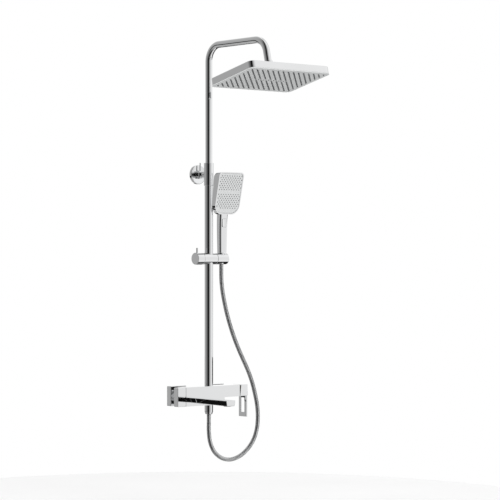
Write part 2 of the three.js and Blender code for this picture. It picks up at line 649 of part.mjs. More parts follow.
const bossFront = BRACKET_THICKNESS + BOSS_LENGTH
function bracketArm() {
  const arm = forward(turned([
    [0, WALL_PLATE_THICKNESS], [BOSS_RADIUS, WALL_PLATE_THICKNESS],
    [BOSS_RADIUS, bossFront - COVER_EDGE], [BOSS_RADIUS - COVER_EDGE, bossFront],
    [NECK_RADIUS, bossFront],
    [NECK_RADIUS, RISER_FORWARD], [0, RISER_FORWARD]]))
  const saddle = rod(SLEEVE_RADIUS + CLEAR, -SLEEVE_RADIUS * 2, SLEEVE_RADIUS * 2, 24)
    .translate(0, -RISER_FORWARD, 0)
  const pinHole = rod(LOCK_PIN_RADIUS + CLEAR, LOCK_PIN_SEAT - CLEAR, BOSS_RADIUS + 1, 12)
    .translate(0, -LOCK_PIN_FORWARD, 0)
  return cut(arm, saddle, pinHole)
}
place(bracket, 'bracket_arm', bracketArm(), CHROME)
place(bracket, 'bracket_lock_pin', turned([
  [0, LOCK_PIN_SEAT], [LOCK_PIN_RADIUS, LOCK_PIN_SEAT],
  [LOCK_PIN_RADIUS, LOCK_PIN_TOP - TURNED_EDGE],
  [LOCK_PIN_RADIUS - TURNED_EDGE, LOCK_PIN_TOP], [0, LOCK_PIN_TOP]], 12),
CHROME, 0, LOCK_PIN_FORWARD)

// ---------------------------------------------------------------- overhead shower

// The head group has its zero in the middle of the head's top and its Z along the arm's leg.
const tubeEnd = HEAD_DROP - LEG_LENGTH
const headTop = upperPath.curves.at(-1).getPoint(1)
  .add(legDirection().multiplyScalar(tubeEnd))
const overhead = group(riser)
overhead.position.copy(headTop)
overhead.rotation.x = -THREE.MathUtils.degToRad(HEAD_TILT)
const COLLAR_WALL = 2.5
const COLLAR_OVERLAP = 10
const COLLAR_LIP = 3
const BALL_NUT_BEVEL = 4

place(overhead, 'arm_collar', turned([
  [UPPER_RADIUS + CLEAR, tubeEnd - COLLAR_LIP], [UPPER_RADIUS + COLLAR_WALL, tubeEnd - COLLAR_LIP],
  [UPPER_RADIUS + COLLAR_WALL, tubeEnd + COLLAR_OVERLAP],
  [UPPER_RADIUS + CLEAR, tubeEnd + COLLAR_OVERLAP]]), CHROME)
place(overhead, 'head_ball', join(
  new THREE.SphereGeometry(BALL_RADIUS, 20, 12).rotateX(Math.PI / 2)
    .translate(0, 0, BALL_HEIGHT),
  rod(SPINDLE_RADIUS, BALL_HEIGHT, tubeEnd, 24),
  rod(UPPER_BORE - 2 * CLEAR, tubeEnd - 1, tubeEnd + COLLAR_OVERLAP, 24),
  rod(UPPER_RADIUS - CLEAR, tubeEnd - COLLAR_LIP, tubeEnd - CLEAR, 24)), CHROME)
place(overhead, 'head_ball_nut', cut(
  turned([[0, CLEAR], [BALL_NUT_RADIUS, CLEAR], [BALL_NUT_RADIUS, BALL_NUT_HEIGHT - BALL_NUT_BEVEL],
    [BALL_NUT_RADIUS - BALL_NUT_BEVEL, BALL_NUT_HEIGHT], [0, BALL_NUT_HEIGHT]]),
  new THREE.SphereGeometry(BALL_RADIUS + BALL_CLEAR, 20, 12).rotateX(Math.PI / 2)
    .translate(0, 0, BALL_HEIGHT),
  rod(BALL_RADIUS - WALL, BALL_HEIGHT, BALL_NUT_HEIGHT + 1),
  rod(GALLERY_RADIUS, -1, BALL_HEIGHT, 12)), CHROME)

const shellBottom = -HEAD_SHELL_HEIGHT
const faceTop = shellBottom - CLEAR
const faceBottom = faceTop - HEAD_FACE_THICKNESS + CLEAR
const shellWidth = HEAD_WIDTH - 2 * HEAD_RIM
const shellDepth = HEAD_DEPTH - 2 * HEAD_RIM
const SHELL_EDGE = 2
const SHELL_ROOF = 3
const FACE_EDGE = 0.6
const cavity = size => size - 2 * (WALL + SHELL_EDGE)
place(overhead, 'head_shell', cut(
  plate(roundedRectangle(shellWidth, shellDepth, HEAD_CORNER), shellBottom, 0, SHELL_EDGE),
  plate(roundedRectangle(cavity(shellWidth), cavity(shellDepth), HEAD_CORNER - WALL - SHELL_EDGE),
    shellBottom - 1, -SHELL_ROOF),
  rod(GALLERY_RADIUS, -SHELL_ROOF - 1, 1, 12)), CHROME)

const MAT_THICKNESS = 2
const JET_PROUD = 0.8
const CENTRE_ROW_HALF = 62
const CENTRE_ROW_GAP = 14
const JET_CORNER = 3
const MAT_BORDER = 4               // the mat reaches this far past the jets
const jetWidth = HEAD_WIDTH - 2 * JET_MARGIN
const jetDepth = HEAD_DEPTH - 2 * JET_MARGIN

// The diagonal jet strips, cut off at the border and at the dotted row in the middle.
function jetStrips(width, from, to, spread) {
  const strips = []
  const border = plate(roundedRectangle(jetWidth + spread, jetDepth + spread, JET_CORNER), from, to)
  const row = block([spread - CENTRE_ROW_HALF, CENTRE_ROW_HALF - spread],
    [-(CENTRE_ROW_GAP - spread) / 2, (CENTRE_ROW_GAP - spread) / 2], [from - 1, to + 1])
  for (let i = 0; i < JET_STRIPS; i += 1) {
    const x = (i - (JET_STRIPS - 1) / 2) * JET_PITCH
    const strip = block([-width / 2, width / 2], [-HEAD_WIDTH / 2, HEAD_WIDTH / 2], [from, to])
      .rotateZ(-Math.PI / 4).translate(x, 0, 0)
    strips.push(cut(common(strip, border), row))
  }
  return strips.filter(strip => strip.index.count > 0)
}
place(overhead, 'head_face', cut(
  plate(roundedRectangle(HEAD_WIDTH, HEAD_DEPTH, HEAD_CORNER + HEAD_RIM), faceBottom, faceTop,
    FACE_EDGE),
  ...jetStrips(JET_WIDTH + 2 * CLEAR, faceBottom - 1, faceTop + 1, 2 * CLEAR)), PALE_PLASTIC)
const matBottom = faceTop + CLEAR
place(overhead, 'head_nozzle_mat', join(
  plate(roundedRectangle(jetWidth + 2 * MAT_BORDER, jetDepth + 2 * MAT_BORDER, JET_CORNER),
    matBottom, matBottom + MAT_THICKNESS),
  ...jetStrips(JET_WIDTH, faceBottom - JET_PROUD, matBottom + 1, 0)), GREY_SILICONE)

// ---------------------------------------------------------------- slider

const slider = group(riser, 0, 0, SLIDER_Z)
const BUSH_WALL = 1.2
const BUSH_HALF = 9
const PAD_RADIUS = 3.5
const CLAMP_PIN_SEAT = 8           // where the pin starts above the axis, and its distance inwards
const PIVOT_SHAFT_START = 18
const PIVOT_SHAFT_END = 34
const knobRight = SLIDER_LEFT - CLEAR
const knobLeft = knobRight - CLAMP_KNOB_LENGTH
const KNOB_SOCKET = 14
const padStart = -LOWER_RADIUS - BUSH_WALL - 2

place(slider, 'slider_body', cut(
  alongX(rod(SLIDER_RADIUS, SLIDER_LEFT, SLIDER_RIGHT, 24)),
  rod(LOWER_RADIUS + BUSH_WALL + 2 * CLEAR, -BUSH_HALF - CLEAR, BUSH_HALF + CLEAR),
  rod(LOWER_RADIUS + CLEAR, -SLIDER_RADIUS - 1, SLIDER_RADIUS + 1),
  alongX(rod(CLAMP_SCREW_RADIUS + CLEAR, SLIDER_LEFT - 1, 0)),
  alongX(rod(PIVOT_SHAFT_RADIUS + CLEAR, PIVOT_SHAFT_START - CLEAR, SLIDER_RIGHT + 1))), CHROME)
place(slider, 'slider_bush', cut(
  ring(LOWER_RADIUS + BUSH_WALL + CLEAR, LOWER_RADIUS + CLEAR, -BUSH_HALF, BUSH_HALF),
  alongX(rod(PAD_RADIUS + CLEAR, -LOWER_RADIUS - BUSH_WALL - 4, 0, 12))), DARK_PLASTIC)
place(slider, 'slider_clamp_pad', alongX(
  rod(PAD_RADIUS, padStart, -LOWER_RADIUS - CLEAR, 12)), BLACK_RUBBER)
place(slider, 'slider_clamp_screw', alongX(
  rod(CLAMP_SCREW_RADIUS, knobRight - KNOB_SOCKET + CLEAR, padStart - CLEAR)), STEEL)
place(slider, 'slider_knob', cut(
  alongX(turned([
    [0, knobLeft], [KNOB_TURN_RADIUS - TURNED_EDGE, knobLeft],
    [KNOB_TURN_RADIUS, knobLeft + TURNED_EDGE],
    [KNOB_TURN_RADIUS, knobRight], [0, knobRight]], 24)),
  alongX(rod(CLAMP_SCREW_RADIUS + CLEAR, knobRight - KNOB_SOCKET, knobRight + 1)),
  rod(CLAMP_PIN_RADIUS + CLEAR, CLAMP_PIN_SEAT - CLEAR, KNOB_TURN_RADIUS + 1, 12)
    .translate(knobLeft + CLAMP_PIN_SEAT, 0, 0)), CHROME)
place(slider, 'slider_knob_pin', turned([
  [0, CLAMP_PIN_SEAT], [CLAMP_PIN_RADIUS, CLAMP_PIN_SEAT],
  [CLAMP_PIN_RADIUS, CLAMP_PIN_TOP - TURNED_EDGE],
  [CLAMP_PIN_RADIUS - TURNED_EDGE, CLAMP_PIN_TOP], [0, CLAMP_PIN_TOP]], 12),
CHROME, knobLeft + CLAMP_PIN_SEAT)
place(slider, 'holder_pivot', alongX(
  rod(PIVOT_SHAFT_RADIUS, PIVOT_SHAFT_START, PIVOT_SHAFT_END)), STEEL)

// Holder: its socket tapers like the hose nut that it carries.
const holderLeft = SLIDER_RIGHT + CLEAR
const HOSE_NUT_TOP = SLIDER_RADIUS - 1.5
const HOSE_NUT_BOTTOM = -17
const HOSE_NUT_TAPER = 1.6
const nutProfile = grow => turned([
  [0, HOSE_NUT_BOTTOM - grow], [HOSE_NUT_RADIUS - HOSE_NUT_TAPER + grow, HOSE_NUT_BOTTOM - grow],
  [HOSE_NUT_RADIUS + grow, HOSE_NUT_TOP], [HOSE_NUT_RADIUS + grow, SLIDER_RADIUS + 2],
  [0, SLIDER_RADIUS + 2]])
place(slider, 'handset_holder', cut(
  alongX(turned([
    [0, holderLeft], [SLIDER_RADIUS, holderLeft],
    [SLIDER_RADIUS, holderLeft + HOLDER_LENGTH - TURNED_EDGE],
    [SLIDER_RADIUS - TURNED_EDGE, holderLeft + HOLDER_LENGTH],
    [0, holderLeft + HOLDER_LENGTH]], 24)),
  nutProfile(CLEAR).translate(SOCKET_X, -SOCKET_FORWARD, 0),
  rod(HOSE_RADIUS + 1.2, -SLIDER_RADIUS - 1, 0).translate(SOCKET_X, -SOCKET_FORWARD, 0),
  alongX(rod(PIVOT_SHAFT_RADIUS + CLEAR, holderLeft - 1, PIVOT_SHAFT_END + CLEAR))), CHROME)

// ---------------------------------------------------------------- hand shower

// Its zero is on the hose axis, at the level of the slider's axis.
const hand = group(slider, SOCKET_X, SOCKET_FORWARD)
const handleBottom = SLIDER_RADIUS + CLEAR
const CONNECTOR_DEPTH = 10         // how far the connector goes into the handle
const connectorTop = handleBottom + CONNECTOR_DEPTH
const connectorBottom = -2
place(hand, 'hose_nut_upper', cut(
  nutProfile(0),
  rod(CONNECTOR_RADIUS + CLEAR, connectorBottom - WASHER_THICKNESS - 2 * CLEAR,
    SLIDER_RADIUS + 3, 24),
  rod(HOSE_RADIUS + CLEAR, HOSE_NUT_BOTTOM - 1, 0, 24),
  block([-30, 30], [-30, 30], [HOSE_NUT_TOP + 1.2, 40])), CHROME)
place(hand, 'hose_washer_upper', ring(CONNECTOR_RADIUS, CONNECTOR_BORE,
  connectorBottom - WASHER_THICKNESS - CLEAR, connectorBottom - CLEAR, 24), BLACK_RUBBER)
place(hand, 'handset_connector', turned([
  [CONNECTOR_BORE, connectorBottom], [CONNECTOR_RADIUS, connectorBottom],
  [CONNECTOR_RADIUS, SLIDER_RADIUS], [CONNECTOR_STEM_RADIUS, SLIDER_RADIUS],
  [CONNECTOR_STEM_RADIUS, connectorTop], [CONNECTOR_BORE, connectorTop]], 24), STEEL)

// Side profile of the hand shower's head: a tilted front and an upright back.
const faceMiddleZ = (HAND_HEAD_BOTTOM + HAND_HEAD_TOP) / 2
const faceSlope = Math.tan(THREE.MathUtils.degToRad(HAND_FACE_TILT))
const faceAt = z => HAND_FACE_FORWARD + (z - faceMiddleZ) * faceSlope
function headOutline(inset) {
  const shape = roundedRectangle(HAND_HEAD_WIDTH - 2 * inset,
    HAND_HEAD_TOP - HAND_HEAD_BOTTOM - 2 * inset, HAND_CORNER - inset / 2, HAND_CHIN)
  return forward(plate(shape, -40, 90, 0, 5)).translate(0, 0, faceMiddleZ)
}
function headProfile(inset, front) {
  const low = HAND_HEAD_BOTTOM + inset
  const high = HAND_HEAD_TOP - inset
  const back = HAND_HEAD_BACK + inset
  const top = back + HAND_BACK_LEAN
  return sidePlate([
    [back - 5, low - 4], [faceAt(low) + front, low], [faceAt(high) + front, high],
    [top + 8, high], [top, high - 12], [back, low + 12]],
  -HAND_HEAD_WIDTH, HAND_HEAD_WIDTH)
}
const headBody = (inset, front) => common(headOutline(inset), headProfile(inset, front))

const handleShare = z => (z - handleBottom) / HANDLE_LENGTH
const handleDepth = share => THREE.MathUtils.lerp(HANDLE_DEPTH, HANDLE_TOP_DEPTH, share)
const handleLean = share => HANDLE_LEAN * Math.pow(share, 4)

function handle() {
  const shape = roundedRectangle(1, 1, 0.3)
  const geometry = new THREE.ExtrudeGeometry(shape, {
    depth: 1, steps: 5, bevelEnabled: false, curveSegments: 4 })
  const position = geometry.attributes.position
  for (let i = 0; i < position.count; i += 1) {
    const up = position.getZ(i)
    const width = THREE.MathUtils.lerp(HANDLE_WIDTH, HANDLE_TOP_WIDTH, up)
    position.setXYZ(i, position.getX(i) * width,
      position.getY(i) * handleDepth(up) - handleLean(up), handleBottom + up * HANDLE_LENGTH)
  }
  return geometry
}

const handShower = group(hand, 0, HANDLE_FORWARD)
const buttonShare = handleShare(BUTTON_Z)
const handleFront = handleDepth(buttonShare) / 2 + handleLean(buttonShare)
const buttonFront = handleFront + BUTTON_PROUD
const recessFloor = handleFront - BUTTON_RECESS
const buttonSpace = (grow, from, to) => forward(plate(
  roundedRectangle(BUTTON_WIDTH + 2 * grow, BUTTON_HEIGHT + 2 * grow, BUTTON_CORNER + grow),
  from, to))
  .translate(0, 0, BUTTON_Z)
place(handShower, 'handset_shell', cut(
  join(handle(), headBody(0, 0)),
  headBody(HAND_FACE_BORDER, HAND_FACE_THICKNESS),
  rod(CONNECTOR_STEM_RADIUS + CLEAR, handleBottom - 1, connectorTop + CLEAR, 24)
    .translate(0, HANDLE_FORWARD, 0),
  rod(GALLERY_RADIUS, handleBottom, HAND_HEAD_BOTTOM + 30, 12).translate(0, PIPE_BACK, 0),
  buttonSpace(CLEAR, recessFloor, buttonFront + 5)), CHROME)
const SPRING_LENGTH = 3.4
const springTop = recessFloor + CLEAR + SPRING_LENGTH
const buttonBack = recessFloor + BUTTON_TRAVEL + 2 * CLEAR
place(handShower, 'handset_button', cut(
  buttonSpace(0, buttonBack, buttonFront),
  forward(rod(SPRING_RADIUS + 2 * CLEAR, buttonBack - 1, springTop + BUTTON_TRAVEL + CLEAR))
    .translate(0, 0, BUTTON_Z)), CHROME)
place(handShower, 'button_spring', forward(
  ring(SPRING_RADIUS, SPRING_RADIUS - SPRING_WIRE, recessFloor + CLEAR, springTop)),
STEEL, 0, 0, BUTTON_Z)

// The spray face and the nozzle mat behind it lie between planes parallel to the tilted front.
function faceLayer(inset, from, to) {
  const low = HAND_HEAD_BOTTOM
  const high = HAND_HEAD_TOP
  return common(headOutline(inset), sidePlate([
    [faceAt(low) + from, low], [faceAt(low) + to, low],
    [faceAt(high) + to, high], [faceAt(high) + from, high]],
  -HAND_HEAD_WIDTH, HAND_HEAD_WIDTH))
}
const FACE_INSET = 0.6
const WINDOW_WIDTH = 80
const WINDOW_HEIGHT = 41
const WINDOW_BAR = 9
const WINDOW_CORNER = 5
const WINDOW_RAISE = 4             // the nozzle field sits a little above the middle
const MAT_INSET = 3
function nozzleWindow(side, grow) {
  const shape = roundedRectangle(WINDOW_WIDTH + 2 * grow, WINDOW_HEIGHT + 2 * grow,
    WINDOW_CORNER)
  return forward(plate(shape, -40, 90))
    .translate(0, 0, faceMiddleZ + WINDOW_RAISE + side * (WINDOW_HEIGHT + WINDOW_BAR) / 2)
}
const faceBack = -FACE_INSET - HAND_FACE_THICKNESS
place(handShower, 'handset_face', cut(
  faceLayer(HAND_FACE_BORDER + CLEAR, faceBack, -FACE_INSET),
  nozzleWindow(1, CLEAR), nozzleWindow(-1, CLEAR)), PALE_PLASTIC)
const nozzlePanel = side => common(
  faceLayer(HAND_FACE_BORDER + CLEAR, faceBack - 1, FACE_INSET - CLEAR), nozzleWindow(side, 0))
place(handShower, 'handset_nozzle_mat', join(
  faceLayer(HAND_FACE_BORDER + MAT_INSET, faceBack - CLEAR - MAT_THICKNESS, faceBack - CLEAR),
  nozzlePanel(1), nozzlePanel(-1)), GREY_SILICONE)

// ---------------------------------------------------------------- hose

const outletTop = BLOCK_BOTTOM - CLEAR
const washerTop = HOSE_END + WASHER_THICKNESS + 3 * CLEAR
const NUT_LIP = 3.5
const NUT_TAPER = 8
place(riser, 'hose_outlet_nipple', turned([
  [CONNECTOR_BORE, washerTop + CLEAR], [CONNECTOR_RADIUS, washerTop + CLEAR],
  [CONNECTOR_RADIUS, outletTop], [OUTLET_NIPPLE_RADIUS, outletTop],
  [OUTLET_NIPPLE_RADIUS, BLOCK_BOTTOM + NIPPLE_SEAT - CLEAR],
  [CONNECTOR_BORE, BLOCK_BOTTOM + NIPPLE_SEAT - CLEAR]], 24), BRASS)
place(riser, 'hose_washer_lower', ring(CONNECTOR_RADIUS, CONNECTOR_BORE,
  washerTop - WASHER_THICKNESS, washerTop, 24), BLACK_RUBBER)
place(riser, 'hose_nut_lower', turned([
  [HOSE_RADIUS + CLEAR, OUTLET_NUT_BOTTOM], [HOSE_RADIUS + NUT_LIP, OUTLET_NUT_BOTTOM],
  [OUTLET_NUT_RADIUS, OUTLET_NUT_BOTTOM + NUT_TAPER], [OUTLET_NUT_RADIUS, outletTop - CLEAR],
  [CONNECTOR_RADIUS + CLEAR, outletTop - CLEAR],
  [CONNECTOR_RADIUS + CLEAR, washerTop - WASHER_THICKNESS - CLEAR],
  [HOSE_RADIUS + CLEAR, washerTop - WASHER_THICKNESS - CLEAR]]), CHROME)

// The hose hangs in one loop beside the mixer. Its middle line is drawn as [x, forward, z] from
// its lower end, for a hand shower this far up and beside it, and is stretched to the real one.
const DRAWN_HEIGHT = 460
const DRAWN_SIDE = 47
const DRAWN_FORWARD = 3
const HOSE_LINE = [
  [47, 3, 460], [47, 3, 431], [48, 3, 396], [53, 3, 361], [60, 3, 331], [70, 3, 296],
  [82, 3, 262], [96, 3, 228], [114, 3, 191], [134, 3, 155], [155, 3, 118], [172, 3, 81],
  [184, 3, 44], [193, 3, 7], [196, 3, -30], [192, 3, -67], [178, 3, -101], [154, 2, -129],
  [119, 2, -150], [83, 1, -157], [48, 1, -149], [21, 0, -128], [5, 0, -97], [0, 0, -64],
  [0, 0, -32], [0, 0, 0],
]
const hosePoints = HOSE_LINE.map(([x, out, z]) => {
  const share = Math.max(z / DRAWN_HEIGHT, 0)
  return new THREE.Vector3(
    RISER_X + x + share * (SOCKET_X - DRAWN_SIDE),
    -(RISER_FORWARD + out * SOCKET_FORWARD / DRAWN_FORWARD),
    HOSE_END + z + share * (HOSE_TOP - HOSE_END - DRAWN_HEIGHT))
})
const hoseCurve = new THREE.CatmullRomCurve3(hosePoints)
place(column, 'shower_hose', swept(circle(HOSE_RADIUS, HOSE_SIDES), hoseCurve, HOSE_STEPS),
  HOSE_STEEL)

column.updateMatrixWorld(true)
export default column
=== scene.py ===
"""Looks of a wall-mounted rainfall shower column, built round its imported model.

Lengths are in metres, in the model's own frame: the wall is the plane Y = 0, the column reaches
out along -Y and +Z is up. A forward distance is measured out from the wall.
"""

import json
import math

import bmesh
import bpy
from mathutils import Matrix, Vector


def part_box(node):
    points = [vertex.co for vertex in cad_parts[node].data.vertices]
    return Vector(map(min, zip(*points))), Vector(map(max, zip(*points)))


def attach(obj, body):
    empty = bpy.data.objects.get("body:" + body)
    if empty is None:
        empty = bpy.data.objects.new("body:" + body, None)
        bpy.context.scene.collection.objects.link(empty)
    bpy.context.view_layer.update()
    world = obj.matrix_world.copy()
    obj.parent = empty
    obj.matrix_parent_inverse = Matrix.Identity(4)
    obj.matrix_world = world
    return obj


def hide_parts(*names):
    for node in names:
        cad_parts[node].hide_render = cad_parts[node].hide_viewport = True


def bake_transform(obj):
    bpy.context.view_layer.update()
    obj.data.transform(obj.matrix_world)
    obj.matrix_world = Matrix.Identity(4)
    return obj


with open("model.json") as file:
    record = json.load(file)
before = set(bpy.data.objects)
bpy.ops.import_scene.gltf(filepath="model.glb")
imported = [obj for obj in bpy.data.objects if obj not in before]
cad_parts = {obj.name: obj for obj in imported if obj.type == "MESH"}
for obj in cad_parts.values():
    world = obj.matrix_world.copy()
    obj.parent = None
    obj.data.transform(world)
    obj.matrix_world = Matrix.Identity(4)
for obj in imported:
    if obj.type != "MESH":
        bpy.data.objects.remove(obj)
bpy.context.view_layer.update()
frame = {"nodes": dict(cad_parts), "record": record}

bl_info = {
    "name": "Rainfall Shower Column",
    "version": (1, 0, 0),
    "blender": (4, 5, 0),
    "location": "3D View > Sidebar > Shower",
    "description": "Builds the finished pieces of a chrome shower column round its model",
    "category": "Object",
}

# ------------------------------------------------------------------ places taken from the model

GAP = 0.0003
RISER_LOW, RISER_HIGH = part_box("riser_lower_tube")
RISER_X = (RISER_LOW.x + RISER_HIGH.x) / 2
RISER_FORWARD = -(RISER_LOW.y + RISER_HIGH.y) / 2
SLIDER_LOW, SLIDER_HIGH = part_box("slider_body")
SLIDER_Z = (SLIDER_LOW.z + SLIDER_HIGH.z) / 2
HEAD_TILT = math.radians(13)
HEAD_WIDTH, HEAD_DEPTH, HEAD_CORNER = 0.312, 0.196, 0.016
HEAD_SHELL_HEIGHT = 0.021
HEAD_RIM = 0.001
FACE_BOTTOM = -0.024
FACE_MARGIN = 0.013
HEAD_DROP = 0.066
LEG_END = 0.026
OVERCUT = 0.002


def middle(node):
    """The middle of a model node's box."""
    low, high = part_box(node)
    return (low + high) / 2


def size(node):
    """The three sides of a model node's box."""
    low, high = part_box(node)
    return high - low


# ------------------------------------------------------------------ outlines and meshes

def rounded_rectangle(width, height, corners, steps=6):
    """Points round a rectangle; corners are its four radii from lower right, anticlockwise."""
    x, y = width / 2, height / 2
    radii = corners if isinstance(corners, (tuple, list)) else (corners,) * 4
    centres = ((1, -1), (1, 1), (-1, 1), (-1, -1))
    points = []
    for turn, ((side, up), radius) in enumerate(zip(centres, radii)):
        radius = max(radius, 1e-5)
        for step in range(steps + 1):
            angle = math.pi / 2 * (turn - 1 + step / steps)
            points.append((side * (x - radius) + radius * math.cos(angle),
                           up * (y - radius) + radius * math.sin(angle)))
    return points


def filleted(points, radii, steps):
    """A closed outline with each corner turned into an arc of its own radius, or left sharp at 0."""
    path = [Vector(point) for point in points]
    result = []
    for index, point in enumerate(path):
        if radii[index] <= 0:
            result.append(point)
            continue
        before = (path[index - 1] - point).normalized()
        after = (path[(index + 1) % len(path)] - point).normalized()
        half = before.angle(after) / 2
        reach = radii[index] / math.tan(half)
        centre = point + (before + after).normalized() * (radii[index] / math.sin(half))
        start, end = point + before * reach - centre, point + after * reach - centre
        for step in range(steps + 1):
            result.append(centre + start.slerp(end, step / steps).normalized() * radii[index])
    return result


def edge_layers(bottom, top, radius, steps=4):
    """[inset, height] of the layers of a slab whose two edges are rounded."""
    layers = []
    for step in range(steps + 1):
        angle = math.pi / 2 * step / steps
        layers.append((radius * (1 - math.sin(angle)), bottom + radius * (1 - math.cos(angle))))
    for step in range(steps + 1):
        angle = math.pi / 2 * step / steps
        layers.append((radius * (1 - math.cos(angle)), top - radius * (1 - math.sin(angle))))
    return layers


def mesh_object(name, points, faces):
    """A smooth-shaded mesh with outward faces and crisp edges kept sharp."""
    mesh = bpy.data.meshes.new(name)
    mesh.from_pydata([tuple(point) for point in points], [], faces)
    tidy(mesh)
    piece = bpy.data.objects.new(name, mesh)
    bpy.context.collection.objects.link(piece)
    return piece


def tidy(mesh):
    """Joins double points, turns all faces outwards and keeps only crisp edges sharp."""
    work = bmesh.new()
    work.from_mesh(mesh)
    bmesh.ops.remove_doubles(work, verts=work.verts, dist=1e-7)
    bmesh.ops.recalc_face_normals(work, faces=work.faces)
    work.to_mesh(mesh)
    work.free()
    mesh.shade_smooth()
    mesh.set_sharp_from_angle(angle=math.radians(50))
    mesh.update()


def loft(name, rings, loop=False):
    """A skin through rings of points, with flat ends or joined back to its first ring."""
    count = len(rings[0])
    points = [point for ring in rings for point in ring]
    faces = []
    for span in range(len(rings) if loop else len(rings) - 1):
        here, there = span * count, (span + 1) % len(rings) * count
        for i in range(count):
            j = (i + 1) % count
            faces.append((here + i, here + j, there + j, there + i))
    if not loop:
        faces.append(tuple(range(count)))
        faces.append(tuple(range(len(points) - count, len(points))))
    return mesh_object(name, points, faces)


def lathe(name, profile, place, sides=72, closed=False):
    """A [radius, height] profile turned about the local Z axis, then put in its place."""
    rings = []
    for radius, height in profile:
        ring = []
        for side in range(sides):
            angle = 2 * math.pi * side / sides
            ring.append(place @ Vector((radius * math.cos(angle), radius * math.sin(angle), height)))
        rings.append(ring)
    return loft(name, rings, loop=closed)


def slab(name, width, height, corner, layers, place, steps=6):
    """A rounded rectangle built up from [inset, height] layers, then put in its place."""
    rings = []
    for inset, level in layers:
        corners = corner if isinstance(corner, (tuple, list)) else (corner,) * 4
        outline = rounded_rectangle(width - 2 * inset, height - 2 * inset,
                                    [max(radius - inset, 2e-4) for radius in corners], steps)
        rings.append([place @ Vector((x, y, level)) for x, y in outline])
    return loft(name, rings)


def prism(name, outline, low, high, place):
    """A flat outline given thickness along the local Z axis, then put in its place."""
    rings = [[place @ Vector((x, y, level)) for x, y in outline] for level in (low, high)]
    return loft(name, rings)


def box(name, low, high):
    """A box between two corners, used to join or cut."""
    outline = [(low[0], low[1]), (high[0], low[1]), (high[0], high[1]), (low[0], high[1])]
    return prism(name, outline, low[2], high[2], Matrix.Identity(4))


def carve(piece, tools, operation="DIFFERENCE"):
    """Cuts the tools out of a piece, or joins them to it, for good."""
    for tool in tools:
        modifier = piece.modifiers.new(tool.name, "BOOLEAN")
        modifier.object = tool
        modifier.operation = operation
        modifier.solver = "EXACT"
    bpy.context.view_layer.update()
    graph = bpy.context.evaluated_depsgraph_get()
    result = bpy.data.meshes.new_from_object(piece.evaluated_get(graph))
    piece.modifiers.clear()
    piece.data = result
    tidy(result)
    for tool in tools:
        bpy.data.objects.remove(tool)
    return piece


def merge(name, pieces):
    """Several objects as one, with all their faces."""
    work = bmesh.new()
    for piece in pieces:
        work.from_mesh(piece.data)
        bpy.data.objects.remove(piece)
    mesh = bpy.data.meshes.new(name)
    work.to_mesh(mesh)
    work.free()
    tidy(mesh)
    merged = bpy.data.objects.new(name, mesh)
    bpy.context.collection.objects.link(merged)
    return merged


def soften(piece, radius, segments, angle):
    """Rounds every crisp edge of a piece by a modifier."""
    bevel = piece.modifiers.new("rounded edges", "BEVEL")
    bevel.width = radius
    bevel.segments = segments
    bevel.limit_method = "ANGLE"
    bevel.angle_limit = math.radians(angle)
    bevel.use_clamp_overlap = True
    bevel.miter_outer = "MITER_ARC"
    return piece


# Where local axes point: a piece made along Z is turned to stand out from the wall or to lie
# along X.

def outward(x=0.0, out=0.0, z=0.0):
    """Local Z points out from the wall, local Y stays up."""
    return Matrix.Translation((x, -out, z)) @ Matrix.Rotation(math.pi / 2, 4, "X")


def sideways(x=0.0, out=0.0, z=0.0):
    """Local Z points along X, local Y points back to the wall."""
    return Matrix.Translation((x, -out, z)) @ Matrix.Rotation(math.pi / 2, 4, "Y")


def upright(x=0.0, out=0.0, z=0.0):
    """Local Z stays up."""
    return Matrix.Translation((x, -out, z))


def side_view(x=0.0):
    """Local X points out from the wall, local Y up and local Z along X."""
    return Matrix.Translation((x, 0, 0)) @ Matrix(
        ((0, 0, 1, 0), (-1, 0, 0, 0), (0, 1, 0, 0), (0, 0, 0, 1)))


# ------------------------------------------------------------------ finishes

def shader(name, colour, metallic, roughness):
    """A new material with its main values set on the shader's own sockets."""
    finish = bpy.data.materials.new(name)
    finish.use_nodes = True
    surface = finish.node_tree.nodes["Principled BSDF"]
    surface.inputs["Base Color"].default_value = (*colour, 1)
    surface.inputs["Metallic"].default_value = metallic
    surface.inputs["Roughness"].default_value = roughness
    return finish, surface


def noise(finish, scale, detail=3.0, stretch=(1, 1, 1)):
    """Noise over the piece's own coordinates, stretched along an axis if asked."""
    nodes, links = finish.node_tree.nodes, finish.node_tree.links
    where = nodes.new("ShaderNodeTexCoord")
    mapping = nodes.new("ShaderNodeMapping")
    mapping.inputs["Scale"].default_value = stretch
    texture = nodes.new("ShaderNodeTexNoise")
    texture.inputs["Scale"].default_value = scale
    texture.inputs["Detail"].default_value = detail
    links.new(where.outputs["Object"], mapping.inputs["Vector"])
    links.new(mapping.outputs["Vector"], texture.inputs["Vector"])
    return texture.outputs["Fac"]


def spread(finish, factor, low, high):
    """The factor's middle range mapped onto values from low to high."""
    nodes, links = finish.node_tree.nodes, finish.node_tree.links
    span = nodes.new("ShaderNodeMapRange")
    span.inputs["From Min"].default_value = 0.3
    span.inputs["From Max"].default_value = 0.7
    span.inputs["To Min"].default_value = low
    span.inputs["To Max"].default_value = high
    links.new(factor, span.inputs["Value"])
    return span.outputs["Result"]


def tint(finish, surface, factor, dark, light):
    """Colour that wanders between two shades."""
    nodes, links = finish.node_tree.nodes, finish.node_tree.links
    ramp = nodes.new("ShaderNodeValToRGB")
    ramp.color_ramp.elements[0].position = 0.3
    ramp.color_ramp.elements[0].color = (*dark, 1)
    ramp.color_ramp.elements[1].position = 0.7
    ramp.color_ramp.elements[1].color = (*light, 1)
    links.new(factor, ramp.inputs["Fac"])
    links.new(ramp.outputs["Color"], surface.inputs["Base Color"])


